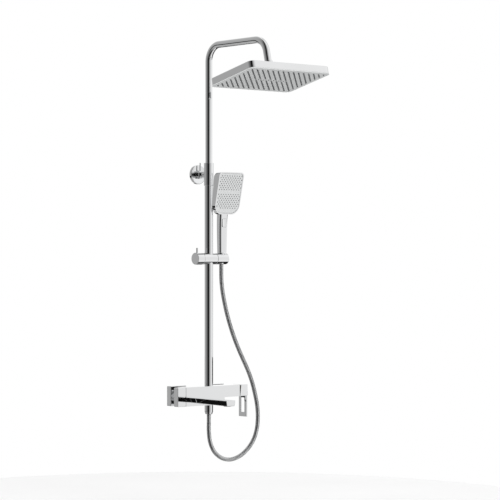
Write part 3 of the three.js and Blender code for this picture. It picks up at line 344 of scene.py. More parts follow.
def relief(finish, surface, factor, depth, strength=1.0):
    """Fine relief of the given depth."""
    nodes, links = finish.node_tree.nodes, finish.node_tree.links
    bump = nodes.new("ShaderNodeBump")
    bump.inputs["Distance"].default_value = depth
    bump.inputs["Strength"].default_value = strength
    links.new(factor, bump.inputs["Height"])
    links.new(bump.outputs["Normal"], surface.inputs["Normal"])


def shade(colour, factor):
    """A colour made darker by a factor."""
    return tuple(channel * factor for channel in colour)


def chrome():
    """Polished chrome plating with faint wiping haze."""
    colour = bpy.context.scene.shower_colours.chrome
    finish, surface = shader("polished_chrome", colour, 1.0, 0.05)
    haze = noise(finish, 28, 4)
    finish.node_tree.links.new(spread(finish, haze, 0.012, 0.04), surface.inputs["Roughness"])
    tint(finish, surface, noise(finish, 9, 2), shade(colour, 0.97), colour)
    relief(finish, surface, noise(finish, 60, 2), 0.00001, 0.15)
    return finish


def brushed_steel():
    """Plain turned steel with fine marks."""
    colour = bpy.context.scene.shower_colours.steel
    finish, surface = shader("turned_steel", colour, 1.0, 0.34)
    marks = noise(finish, 420, 4, (1, 1, 0.08))
    finish.node_tree.links.new(spread(finish, marks, 0.25, 0.42), surface.inputs["Roughness"])
    tint(finish, surface, noise(finish, 40, 3), shade(colour, 0.9), colour)
    relief(finish, surface, marks, 0.00003, 0.4)
    return finish


def machined_brass():
    """Bare brass, slightly dulled."""
    colour = bpy.context.scene.shower_colours.brass
    finish, surface = shader("machined_brass", colour, 1.0, 0.36)
    marks = noise(finish, 300, 4, (1, 1, 0.1))
    finish.node_tree.links.new(spread(finish, marks, 0.28, 0.48), surface.inputs["Roughness"])
    tint(finish, surface, noise(finish, 55, 4), shade(colour, 0.78), colour)
    relief(finish, surface, marks, 0.00003, 0.5)
    return finish


def face_plastic():
    """Satin pale plastic with a fine moulded grain."""
    colour = bpy.context.scene.shower_colours.face
    finish, surface = shader("satin_face_plastic", colour, 0.0, 0.34)
    grain = noise(finish, 1500, 2)
    finish.node_tree.links.new(spread(finish, noise(finish, 50, 3), 0.28, 0.4),
                               surface.inputs["Roughness"])
    tint(finish, surface, noise(finish, 14, 2), shade(colour, 0.96), colour)
    relief(finish, surface, grain, 0.00003, 0.35)
    return finish


def grey_silicone():
    """Soft grey silicone, faintly mottled."""
    colour = bpy.context.scene.shower_colours.silicone
    finish, surface = shader("grey_silicone", colour, 0.0, 0.55)
    surface.inputs["Subsurface Weight"].default_value = 0.05
    surface.inputs["Subsurface Radius"].default_value = (0.001, 0.001, 0.001)
    finish.node_tree.links.new(spread(finish, noise(finish, 400, 3), 0.46, 0.62),
                               surface.inputs["Roughness"])
    tint(finish, surface, noise(finish, 160, 3), shade(colour, 0.85), colour)
    relief(finish, surface, noise(finish, 1800, 2), 0.00004, 0.4)
    return finish


def black_rubber():
    """Matt seal rubber."""
    colour = bpy.context.scene.shower_colours.rubber
    finish, surface = shader("seal_rubber", colour, 0.0, 0.7)
    tint(finish, surface, noise(finish, 300, 3), shade(colour, 0.6), colour)
    relief(finish, surface, noise(finish, 1400, 3), 0.00005, 0.5)
    return finish


def dark_plastic():
    """Dark moulded plastic of the cartridges and bushes."""
    colour = bpy.context.scene.shower_colours.moulding
    finish, surface = shader("dark_moulding", colour, 0.0, 0.45)
    finish.node_tree.links.new(spread(finish, noise(finish, 90, 3), 0.38, 0.52),
                               surface.inputs["Roughness"])
    tint(finish, surface, noise(finish, 60, 2), shade(colour, 0.8), colour)
    relief(finish, surface, noise(finish, 900, 2), 0.00004, 0.4)
    return finish


def hose_metal():
    """Plated steel band of the hose, a little duller than the castings."""
    colour = bpy.context.scene.shower_colours.hose
    finish, surface = shader("hose_band", colour, 1.0, 0.1)
    finish.node_tree.links.new(spread(finish, noise(finish, 120, 3), 0.06, 0.16),
                               surface.inputs["Roughness"])
    tint(finish, surface, noise(finish, 90, 2), shade(colour, 0.86), colour)
    relief(finish, surface, noise(finish, 700, 2), 0.00003, 0.3)
    return finish


FINISHES = {
    "chrome": chrome, "steel": brushed_steel, "brass": machined_brass,
    "pale_plastic": face_plastic, "grey_silicone": grey_silicone,
    "black_rubber": black_rubber, "dark_plastic": dark_plastic, "hose_steel": hose_metal,
}
made_finishes = {}


def finish_of(slot):
    """The material of one of the record's slots, made once."""
    if slot not in made_finishes:
        made_finishes[slot] = FINISHES[slot]()
    return made_finishes[slot]


def dress(piece, body, slot, *nodes):
    """Gives a piece its finish and smooth flats, ties it to its body and hides the model nodes it
    stands for.
    """
    piece.data.materials.clear()
    piece.data.materials.append(finish_of(slot))
    flats = piece.modifiers.new("even flats", "WEIGHTED_NORMAL")
    flats.keep_sharp = True
    flats.weight = 60
    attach(piece, body)
    if nodes:
        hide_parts(*nodes)
    return piece


# ------------------------------------------------------------------ settings

def length(name, description, default):
    """A length setting."""
    return bpy.props.FloatProperty(
        name=name, description=description, default=default, min=0, unit="LENGTH", precision=4)


def colour(name, description, default):
    """A colour setting."""
    return bpy.props.FloatVectorProperty(
        name=name, description=description, default=default, min=0, max=1, subtype="COLOR")


class ShowerSizes(bpy.types.PropertyGroup):
    """Sizes of the finished pieces that the model leaves open"""

    casting_edge: length("Casting edge", "Radius of the mixer's edges", 0.0012)
    turned_edge: length("Turned edge", "Radius of the edges of turned pieces", 0.0009)
    shell_edge: length("Shell edge", "Radius of the overhead shower's upper edge", 0.0025)
    jet_pitch: length("Jet pitch", "Distance between the diagonal jet strips along X", 0.02)
    jet_width: length("Jet width", "Width of a diagonal jet strip", 0.0035)
    nozzle_radius: length("Nozzle radius", "Base radius of a hand shower nozzle", 0.0016)
    hose_pitch: length("Hose pitch", "Distance between two turns of the hose's band", 0.0039)
    hose_groove: length("Hose groove", "Depth of the groove between two turns", 0.0016)


class ShowerColours(bpy.types.PropertyGroup):
    """Colours of the finishes"""

    chrome: colour("Chrome", "Polished plating", (0.9, 0.905, 0.91))
    steel: colour("Steel", "Turned steel", (0.56, 0.57, 0.58))
    brass: colour("Brass", "Bare brass", (0.66, 0.48, 0.22))
    face: colour("Spray face", "Plastic of the spray faces", (0.64, 0.65, 0.65))
    silicone: colour("Silicone", "Jets and nozzles", (0.13, 0.134, 0.138))
    rubber: colour("Rubber", "Seals and washers", (0.02, 0.02, 0.022))
    moulding: colour("Moulding", "Cartridges and bushes", (0.05, 0.052, 0.056))
    hose: colour("Hose", "Metal band of the hose", (0.86, 0.865, 0.87))
    floor: colour("Floor", "Floor of the stage", (0.98, 0.98, 0.98))


def sizes():
    """The size settings of this scene."""
    return bpy.context.scene.shower_sizes


# ------------------------------------------------------------------ inlets and mixer

UNION_FLANGE = 0.0017


def rosette(side):
    """Hollow square cover on the wall with a hole for the union."""
    node = f"wall_rosette_{side}"
    span, centre = size(node), middle(node)
    place = outward(centre.x, 0, centre.z)
    cover = slab(f"{node}_cover", span.x, span.z, 0.003, edge_layers(0, span.y, 0.0015), place)
    wall = 0.002
    inner = span.x - 2 * wall
    hollow = slab("hollow", inner, inner, wall, [(0, -OVERCUT), (0, span.y - wall)], place)
    neck_radius = size(f"inlet_union_{side}").x / 2 - UNION_FLANGE
    hole = lathe("hole", [(neck_radius + GAP, -OVERCUT), (neck_radius + GAP, span.y + OVERCUT)],
                 place)
    carve(cover, [hollow, hole])
    return dress(cover, "root", "chrome", node)


def union_nut(side):
    """Hexagon nut with both faces chamfered into a circle."""
    node = f"union_nut_{side}"
    low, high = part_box(node)
    centre = (low + high) / 2
    back, front = -high.y, -low.y
    across = (high.z - low.z) / 2
    corner = across / math.cos(math.pi / 6)
    place = outward(centre.x, 0, centre.z)
    hexagon = [(corner * math.cos(math.pi / 3 * turn), corner * math.sin(math.pi / 3 * turn))
               for turn in range(6)]
    nut = prism(f"{node}_hexagon", hexagon, back, front, place)
    chamfer = (corner - across) * 0.75
    past = corner + 0.0005
    barrel = lathe("barrel", [(across, back), (past, back + chamfer),
                              (past, front - chamfer), (across, front)], place, 96)
    carve(nut, [barrel], "INTERSECT")
    soften(nut, 0.0003, 2, 25)
    return dress(nut, "root", "chrome", node)


def inlet_union(side):
    """Turned brass neck between the wall and the nut."""
    node = f"inlet_union_{side}"
    centre, front = middle(node), -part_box(node)[0].y
    flange = size(node).x / 2
    neck, bore, thickness = flange - UNION_FLANGE, 0.007, 0.002
    profile = [(bore, 0), (neck, 0), (neck, front - thickness), (flange, front - thickness),
               (flange, front), (bore, front)]
    union = lathe(f"{node}_neck", profile, outward(centre.x, 0, centre.z), closed=True)
    return dress(union, "root", "brass", node)


class SHOWER_OT_inlets(bpy.types.Operator):
    """Builds the two wall inlets: rosettes, unions and nuts"""

    bl_idname = "shower.inlets"
    bl_label = "Wall Inlets"

    def execute(self, context):
        for side in ("left", "right"):
            rosette(side)
            inlet_union(side)
            union_nut(side)
        return {"FINISHED"}


BODY_DEPTH = 0.04
BAR_HEIGHT = 0.036
SPINDLE_HOLE = 0.0043
PIVOT_HOLE = 0.0053
SOCKET_DEPTH = 0.014


def mixer_casting():
    """Bar with a deeper block under its left part, cut for the pieces that go into it."""
    low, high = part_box("mixer_body")
    front = -low.y
    back = front - BODY_DEPTH
    block_right = 0.06
    bar_bottom = high.z - BAR_HEIGHT
    outline = [(low.x, low.z), (block_right, low.z), (block_right, bar_bottom),
               (high.x, bar_bottom), (high.x, high.z), (low.x, high.z)]
    body = prism("mixer_casting", outline, back, front, outward())
    lever_axis = 0.011
    cartridge = lathe("cartridge bore", [(0.015, -0.041), (0.015, OVERCUT)],
                      sideways(high.x, RISER_FORWARD, lever_axis))
    diverter = lathe("diverter bore", [(0.008, -OVERCUT), (0.008, 0.024)],
                     sideways(low.x, -middle("diverter_knob").y))
    riser = size("riser_lower_tube").x / 2 + GAP
    seat = lathe("riser bore", [(riser, 0.016), (riser, high.z + OVERCUT)],
                 upright(RISER_X, RISER_FORWARD))
    nipple = size("hose_outlet_nipple").x / 2 + GAP
    outlet = lathe("outlet bore", [(nipple, low.z - OVERCUT), (nipple, low.z + 0.0145)],
                   upright(RISER_X, RISER_FORWARD))
    carve(body, [cartridge, diverter, seat, outlet])
    for side in ("left", "right"):
        x = middle(f"wall_rosette_{side}").x
        neck = lathe(f"neck {side}", [(0.012, back - 0.01), (0.012, back + OVERCUT)], outward(x))
        carve(body, [neck], "UNION")
    soften(body, sizes().casting_edge, 3, 40)
    return dress(body, "root", "chrome", "mixer_body")


def lever():
    """Wedge-gapped lever head with a windowed plate hanging from its right side."""
    low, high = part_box("mixer_lever")
    bottom = high.z - BAR_HEIGHT + GAP
    wedge, plate_thickness, step = 0.0042, 0.0045, 0.002
    outline = [(low.x, bottom), (high.x, bottom), (high.x, high.z), (low.x + wedge, high.z)]
    head = prism("mixer_lever_handle", outline, -high.y, -low.y, outward())
    plate = box("plate", (high.x - plate_thickness, low.y + step, low.z),
                (high.x, high.y - step, bottom + 0.006))
    carve(head, [plate], "UNION")
    window_width, window_height, window_middle = 0.017, 0.045, -0.0355
    window = slab("window", window_width, window_height, 0.002, [(0, -0.04), (0, 0.04)],
                  Matrix.Translation((high.x, (low.y + high.y) / 2, window_middle))
                  @ Matrix.Rotation(math.pi / 2, 4, "Y") @ Matrix.Rotation(math.pi / 2, 4, "Z"))
    wall, roof, floor = 0.006, 0.002, 0.0035
    pocket = box("pocket", (low.x - 0.001, low.y + wall, bottom + floor),
                 (high.x - wall, high.y - wall, high.z - roof))
    carve(head, [window, pocket])
    soften(head, sizes().turned_edge, 3, 40)
    return dress(head, "lever", "chrome", "mixer_lever")


def diverter_knob():
    """Square-ended knob with a pointer groove over its front and its end."""
    low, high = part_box("diverter_knob")
    centre = (low + high) / 2
    span = high - low
    place = outward(centre.x, -centre.y, centre.z)
    knob = slab("diverter_knob_grip", span.x, span.z, 0.0015,
                edge_layers(-span.y / 2, span.y / 2, 0.0011), place, 5)
    groove, past = 0.002, 0.001
    front = box("front groove", (low.x - past, low.y - past, -groove / 2),
                (high.x + past, low.y + groove, groove / 2))
    end = box("end groove", (low.x - past, low.y - past, -groove / 2),
              (low.x + groove, high.y + past, groove / 2))
    hole = lathe("socket", [(SPINDLE_HOLE, -SOCKET_DEPTH), (SPINDLE_HOLE, past)],
                 sideways(high.x, -centre.y))
    carve(knob, [front, end, hole])
    return dress(knob, "diverter", "chrome", "diverter_knob")


def spout():
    """Flat bath spout, undercut along its sides and a little deeper towards its mouth."""
    low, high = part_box("bath_spout")
    tip, start = -low.y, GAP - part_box("mixer_body")[0].y
    thickness, tip_thickness, undercut = 0.015, 0.017, 0.86
    top = low.z + tip_thickness
    outline = [(start, top - thickness), (tip, low.z), (tip, top), (start, top)]
    arm = prism("bath_spout_arm", outline, low.x, high.x, side_view())
    centre = (low.x + high.x) / 2
    for vertex in arm.data.vertices:
        if vertex.co.z < top - thickness / 2:
            vertex.co.x = centre + (vertex.co.x - centre) * undercut
    aerator = middle("spout_aerator")
    mouth_radius, mouth_roof = size("spout_aerator").x / 2 + GAP, top - 0.009
    mouth = lathe("mouth", [(mouth_radius, low.z - 2 * OVERCUT), (mouth_radius, mouth_roof)],
                  upright(aerator.x, -aerator.y))
    carve(arm, [mouth])
    soften(arm, sizes().casting_edge, 3, 40)
    return dress(arm, "root", "chrome", "bath_spout")


def aerator():
    """Flow straightener: a turned ring with a grid of fine rings inside."""
    low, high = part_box("spout_aerator")
    radius = (high.x - low.x) / 2
    place = upright(middle("spout_aerator").x, -middle("spout_aerator").y)
    edge, bore = 0.0006, radius - 0.0025
    wall = [(bore, low.z + edge), (bore + edge, low.z), (radius - edge, low.z),
            (radius, low.z + edge), (radius, high.z), (bore, high.z)]
    parts = [lathe("aerator ring", wall, place, closed=True)]
    fins, thickness, fin_low, fin_high = 4, 0.0005, low.z + 0.0016, low.z + 0.006
    for turn in range(1, fins + 1):
        inner = radius * turn / (fins + 2)
        outer = inner + thickness
        fin = [(inner, fin_low), (outer, fin_low), (outer, fin_high), (inner, fin_high)]
        parts.append(lathe("aerator fin", fin, place, 48, closed=True))
    disc, disc_low, disc_high = bore + thickness, fin_high - thickness, fin_high + thickness
    floor = [(0, disc_low), (disc, disc_low), (disc, disc_high), (0, disc_high)]
    parts.append(lathe("aerator floor", floor, place, 48))
    return dress(merge("spout_aerator_insert", parts), "root", "steel", "spout_aerator")


class SHOWER_OT_mixer(bpy.types.Operator):
    """Builds the mixer: its casting, lever, diverter knob and bath spout"""

    bl_idname = "shower.mixer"
    bl_label = "Mixer"

    def execute(self, context):
        mixer_casting()
        lever()
        diverter_knob()
        spout()
        aerator()
        return {"FINISHED"}


# ------------------------------------------------------------------ riser, arm and bracket

def turned_ends(radius, low, high, edge):
    """Profile of a solid turned rod or drum with rounded ends."""
    points = [(0, low)]
    for step in range(5):
        angle = math.pi / 2 * step / 4
        points.append((radius - edge + edge * math.sin(angle), low + edge - edge * math.cos(angle)))
    for step in range(5):
        angle = math.pi / 2 * step / 4
        points.append((radius - edge + edge * math.cos(angle), high - edge + edge * math.sin(angle)))
    points.append((0, high))
    return points


def turned_wall(radius, low, high, edge):
    """The outside of a turned ring with both of its edges broken."""
    return [(radius - edge, low), (radius - edge * 0.3, low + edge * 0.3), (radius, low + edge),
            (radius, high - edge), (radius - edge * 0.3, high - edge * 0.3),
            (radius - edge, high)]


def pipe(name, centreline, radius, sides):
    """Smooth round tube along a centreline that lies in one plane of constant X."""
    rings = []
    across = Vector((1, 0, 0))
    for index, point in enumerate(centreline):
        ahead = centreline[min(index + 1, len(centreline) - 1)]
        behind = centreline[max(index - 1, 0)]
        along = (ahead - behind).normalized()
        normal = along.cross(across).normalized()
        ring = []
        for side in range(sides):
            angle = 2 * math.pi * side / sides
            ring.append(point + radius * (math.cos(angle) * across + math.sin(angle) * normal))
        rings.append(ring)
    return loft(name, rings)


def arm_centreline():
    """Middle line of the upper tube: up, forward over the head, and down its tilted leg."""
    low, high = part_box("riser_upper_tube")
    radius = (high.x - low.x) / 2
    top = high.z - radius
    bend = 0.05
    head = head_frame()
    leg_end = head @ Vector((0, 0, LEG_END))
    leg_top = head @ Vector((0, 0, HEAD_DROP))
    along = (head.to_3x3() @ Vector((0, 0, 1))).normalized()
    centre_y = leg_top.y + bend * math.cos(HEAD_TILT)
    centre = Vector((RISER_X, centre_y, top - bend))
    points = [Vector((RISER_X, -RISER_FORWARD, low.z + 0.001)),
              Vector((RISER_X, -RISER_FORWARD, top - bend))]
    for step in range(1, 17):
        angle = math.pi / 2 * step / 16
        points.append(Vector((RISER_X, -RISER_FORWARD - bend + bend * math.cos(angle),
                              top - bend + bend * math.sin(angle))))
    sweep = math.pi / 2 - HEAD_TILT
    for step in range(15):
        angle = sweep * step / 14
        points.append(centre + bend * Vector((0, -math.sin(angle), math.cos(angle))))
    points += [leg_top - along * 0.002, leg_end]
    return points


def head_frame():
    """Middle of the overhead shower's top, with local Z along the arm's leg."""
    tilt = Matrix.Rotation(-HEAD_TILT, 4, "X")
    centre = middle("head_shell")
    return Matrix.Translation(centre) @ tilt @ Matrix.Translation((0, 0, HEAD_SHELL_HEIGHT / 2))


class SHOWER_OT_riser(bpy.types.Operator):
    """Builds the riser's two tubes, the height lock sleeve and the arm"""

    bl_idname = "shower.riser"
    bl_label = "Riser and Arm"

    def execute(self, context):
        radius = size("riser_lower_tube").x / 2
        bore, rim = radius - 0.002, 0.0005
        lower = lathe("riser_lower_pipe", [
            (bore, RISER_LOW.z), (radius, RISER_LOW.z), (radius, RISER_HIGH.z - rim),
            (radius - rim, RISER_HIGH.z), (bore, RISER_HIGH.z)],
            upright(RISER_X, RISER_FORWARD), 80, closed=True)
        dress(lower, "root", "chrome", "riser_lower_tube")
        arm = pipe("riser_upper_pipe", arm_centreline(), size("riser_upper_tube").x / 2, 64)
        dress(arm, "arm", "chrome", "riser_upper_tube")
        low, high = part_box("height_lock_sleeve")
        outer = (high.x - low.x) / 2
        edge = sizes().turned_edge
        bore = radius + GAP
        mouth, mouth_depth = size("sleeve_wiper_ring").x / 2 + GAP, 0.004
        profile = [(bore, low.z + edge / 2), (bore + edge / 2, low.z),
                   *turned_wall(outer, low.z, high.z, edge),
                   (mouth + edge / 2, high.z), (mouth, high.z - edge / 2),
                   (mouth, high.z - mouth_depth), (bore, high.z - mouth_depth)]
        sleeve = lathe("height_lock_sleeve_shell", profile,
                       upright(RISER_X, RISER_FORWARD), 80, closed=True)
        dress(sleeve, "root", "chrome", "height_lock_sleeve")
        return {"FINISHED"}


class SHOWER_OT_bracket(bpy.types.Operator):
    """Builds the wall bracket's cover, arm and lock pin"""

    bl_idname = "shower.bracket"
    bl_label = "Wall Bracket"

    def execute(self, context):
        cover_size, centre = size("bracket_cover"), middle("bracket_cover")
        place = outward(RISER_X, 0, centre.z)
        radius, depth = cover_size.x / 2, cover_size.y
        boss = size("bracket_arm").x / 2
        edge, wall = 0.0014, 0.002
        profile = [(radius - wall, 0), (radius, 0), (radius, depth - edge),
                   (radius - edge * 0.3, depth - edge * 0.3), (radius - edge, depth),
                   (boss + GAP + 0.0005, depth), (boss + GAP, depth - 0.0005),
                   (boss + GAP, depth - wall), (radius - wall, depth - wall)]
        cover = lathe("bracket_cover_plate", profile, place, 96, closed=True)
        dress(cover, "root", "chrome", "bracket_cover")

        start, neck, end, root, run = 0.004, 0.0085, 0.021, 0.0012, 0.0014
        bar_end = RISER_FORWARD - 0.01
        edge = sizes().turned_edge
        profile = [(0, start), (boss, start), (boss, end - edge),
                   (boss - edge * 0.3, end - edge * 0.3), (boss - edge, end),
                   (neck + root, end), (neck + root / 4, end + root / 3), (neck, end + run),
                   (neck, bar_end), (0, bar_end)]
        arm = lathe("bracket_arm_bar", profile, place, 72)
        sleeve, reach = size("height_lock_sleeve").x / 2 + GAP, 0.04
        saddle = lathe("saddle", [(sleeve, centre.z - reach), (sleeve, centre.z + reach)],
                       upright(RISER_X, RISER_FORWARD), 80)
        pin_low, pin_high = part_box("bracket_lock_pin")
        pin_radius = (pin_high.x - pin_low.x) / 2
        pin_place = upright(RISER_X, -(pin_low.y + pin_high.y) / 2)
        hole = lathe("pin hole", [(pin_radius + GAP, pin_low.z),
                                  (pin_radius + GAP, centre.z + reach)], pin_place, 32)
        carve(arm, [saddle, hole])
        dress(arm, "root", "chrome", "bracket_arm")

        pin = lathe("bracket_lock_pin_rod",
                    turned_ends(pin_radius, pin_low.z, pin_high.z, 0.0007), pin_place, 32)
        dress(pin, "root", "chrome", "bracket_lock_pin")
        return {"FINISHED"}


# ------------------------------------------------------------------ overhead shower

def clip(polygon, axis, limit, keep_below):
    """The part of a flat polygon on one side of a line across X (axis 0) or Y (axis 1)."""
    kept = []
    for index, point in enumerate(polygon):
        before = polygon[index - 1]
        inside = (point[axis] <= limit) == keep_below
        was_inside = (before[axis] <= limit) == keep_below
        if inside != was_inside:
            share = (limit - before[axis]) / (point[axis] - before[axis])
            kept.append((before[0] + share * (point[0] - before[0]),
                         before[1] + share * (point[1] - before[1])))
        if inside:
            kept.append(point)
    return kept


def jet_strips(width, half_x, half_y, row_x, row_y):
    """Outlines of the diagonal strips inside a border, left out round the middle row."""
    pitch = sizes().jet_pitch
    half = width / math.sqrt(2)
    count = int((half_x + half_y) / pitch) + 1
    strips = []
    for turn in range(-count, count + 1):
        x = turn * pitch
        reach = half_y + 0.02
        whole = [(x - reach - half, -reach), (x - reach + half, -reach),
                 (x + reach + half, reach), (x + reach - half, reach)]
        for axis, limit in ((0, half_x), (1, half_y)):
            whole = clip(clip(whole, axis, limit, True), axis, -limit, False)
        if len(whole) < 3:
            continue
        above, below = clip(whole, 1, row_y, False), clip(whole, 1, -row_y, True)
        between = clip(clip(whole, 1, row_y, True), 1, -row_y, False)
        ends = [clip(between, 0, row_x, False), clip(between, 0, -row_x, True)]
        strips += [part for part in (above, below, *ends) if area(part) > 2e-6]
    return strips


def area(outline):
    """Area of a flat outline."""
    return abs(sum(a[0] * b[1] - b[0] * a[1]
                   for a, b in zip(outline, outline[1:] + outline[:1]))) / 2


def nub(place, radius, height, hole, sides):
    """Small tapered nozzle with an open mouth; it stands along its own Z."""
    profile = [(radius * 1.15, -0.0004), (radius * 1.1, 0), (radius * 0.92, height * 0.3),
               (radius * 0.74, height * 0.9), (radius * 0.66, height),
               (hole, height), (hole * 0.8, height * 0.45), (0, height * 0.4)]
    return lathe("nub", profile, place, sides)


JETS_HALF_X, JETS_HALF_Y = HEAD_WIDTH / 2 - FACE_MARGIN, HEAD_DEPTH / 2 - FACE_MARGIN
CENTRE_ROW_X, CENTRE_ROW_Y = 0.0622, 0.007


def overhead_face(place, bottom):
    """Face plate with the jets' diagonal slots."""
    thickness, slot_depth, play = 0.0027, 0.0012, 0.0007
    plate = slab("head_face_plate", HEAD_WIDTH, HEAD_DEPTH, HEAD_CORNER + HEAD_RIM,
                 edge_layers(bottom, bottom + thickness, 0.0007), place, 8)
    slots = [prism("slot", outline, bottom - OVERCUT, bottom + slot_depth, place)
             for outline in jet_strips(sizes().jet_width + play, JETS_HALF_X, JETS_HALF_Y,
                                       CENTRE_ROW_X - GAP, CENTRE_ROW_Y - GAP)]
    carve(plate, [merge("slots", slots)])
    return dress(plate, "overhead_head", "pale_plastic", "head_face")


def overhead_jets(place, bottom):
    """Silicone strips with a row of nozzles along each, and a straight row in the middle."""
    pitch, proud, rooted = sizes().jet_pitch, 0.0004, 0.001
    parts = [prism("strip", outline, bottom - proud, bottom + rooted, place)
             for outline in jet_strips(sizes().jet_width, JETS_HALF_X, JETS_HALF_Y,
                                       CENTRE_ROW_X, CENTRE_ROW_Y)]
    down = place @ Matrix.Rotation(math.pi, 4, "X")
    nozzle_pitch, border = 0.0095, 0.003
    step = nozzle_pitch / math.sqrt(2)
    reach = math.ceil(JETS_HALF_Y / step)
    count = int((JETS_HALF_X + JETS_HALF_Y) / pitch) + 1
    for turn in range(-count, count + 1):
        for along in range(-reach, reach + 1):
            x, y = turn * pitch + along * step, along * step
            inside = abs(x) < JETS_HALF_X - border and abs(y) < JETS_HALF_Y - border
            clear = abs(x) > CENTRE_ROW_X + border or abs(y) > CENTRE_ROW_Y + border
            if inside and clear:
                spot = down @ Matrix.Translation((x, -y, -bottom + proud - 0.0001))
                parts.append(nub(spot, 0.0011, 0.0008, 0.0005, 10))
    centre_pitch, centre_half = 0.0098, 6
    for turn in range(-centre_half, centre_half + 1):
        spot = down @ Matrix.Translation((turn * centre_pitch, 0, -bottom))
        parts.append(nub(spot, 0.0019, 0.0012, 0.0009, 14))
    jets = merge("head_jet_strips", parts)
    return dress(jets, "overhead_head", "grey_silicone", "head_nozzle_mat")


class SHOWER_OT_overhead(bpy.types.Operator):
    """Builds the overhead shower, its jets and its ball joint"""

    bl_idname = "shower.overhead"
    bl_label = "Overhead Shower"

    def execute(self, context):
        place = head_frame()
        edge = sizes().shell_edge
        break_edge = 0.0004
        low_edge = break_edge - HEAD_SHELL_HEIGHT
        layers = [(break_edge, -HEAD_SHELL_HEIGHT), (0, low_edge)]
        layers += edge_layers(low_edge, 0, edge, 6)[7:]
        layers += [(edge + 0.004, 0.0)]
        shell = slab("head_shell_cover", HEAD_WIDTH - 2 * HEAD_RIM, HEAD_DEPTH - 2 * HEAD_RIM,
                     HEAD_CORNER, layers, place, 10)
        dress(shell, "overhead_head", "chrome", "head_shell")
        overhead_face(place, FACE_BOTTOM)
        overhead_jets(place, FACE_BOTTOM)

        nut_radius, nut_height, mouth, shoulder, foot = 0.016, 0.017, 0.0075, 0.0045, 0.0012
        profile = [(mouth, nut_height - shoulder), (mouth, nut_height)]
        for step in range(9):
            angle = math.pi / 2 * step / 8
            profile.append((nut_radius - shoulder + shoulder * math.sin(angle),
                            nut_height - shoulder + shoulder * math.cos(angle)))
        profile += [(nut_radius, foot), (nut_radius - foot / 2, foot / 2),
                    (nut_radius - foot, GAP), (mouth, GAP)]
        nut = lathe("head_ball_cap", profile, place, 72, closed=True)
        dress(nut, "overhead_head", "chrome", "head_ball_nut")

        ball_radius, ball_height, stem = 0.009, 0.012, 0.005
        profile = []
        for step in range(17):
            angle = math.pi * step / 16
            height = -ball_radius * math.cos(angle)
            radius = ball_radius * math.sin(angle)
            if height > 0 and radius < stem:
                break
            profile.append((radius, ball_height + height))
        collar_low, collar_high = LEG_END - 0.003, LEG_END + 0.01
        flange, plug = 0.0102, 0.0079
        profile += [(stem, collar_low - 0.001), (flange, collar_low + 0.0002),
                    (flange, LEG_END - GAP), (plug, LEG_END - GAP),
                    (plug, collar_high), (0, collar_high)]
        ball = lathe("head_ball_stem", profile, place, 64)
        dress(ball, "head_ball", "chrome", "head_ball")

        inner = size("riser_upper_tube").x / 2 + GAP
        outer = size("arm_collar").x / 2
        edge = sizes().turned_edge
        profile = [(inner, collar_low), *turned_wall(outer, collar_low, collar_high, edge),
                   (inner, collar_high)]
        collar = lathe("arm_collar_ring", profile, place, 72, closed=True)
        dress(collar, "arm", "chrome", "arm_collar")
        return {"FINISHED"}


# ------------------------------------------------------------------ slider

NUT_TAPER = 0.0016


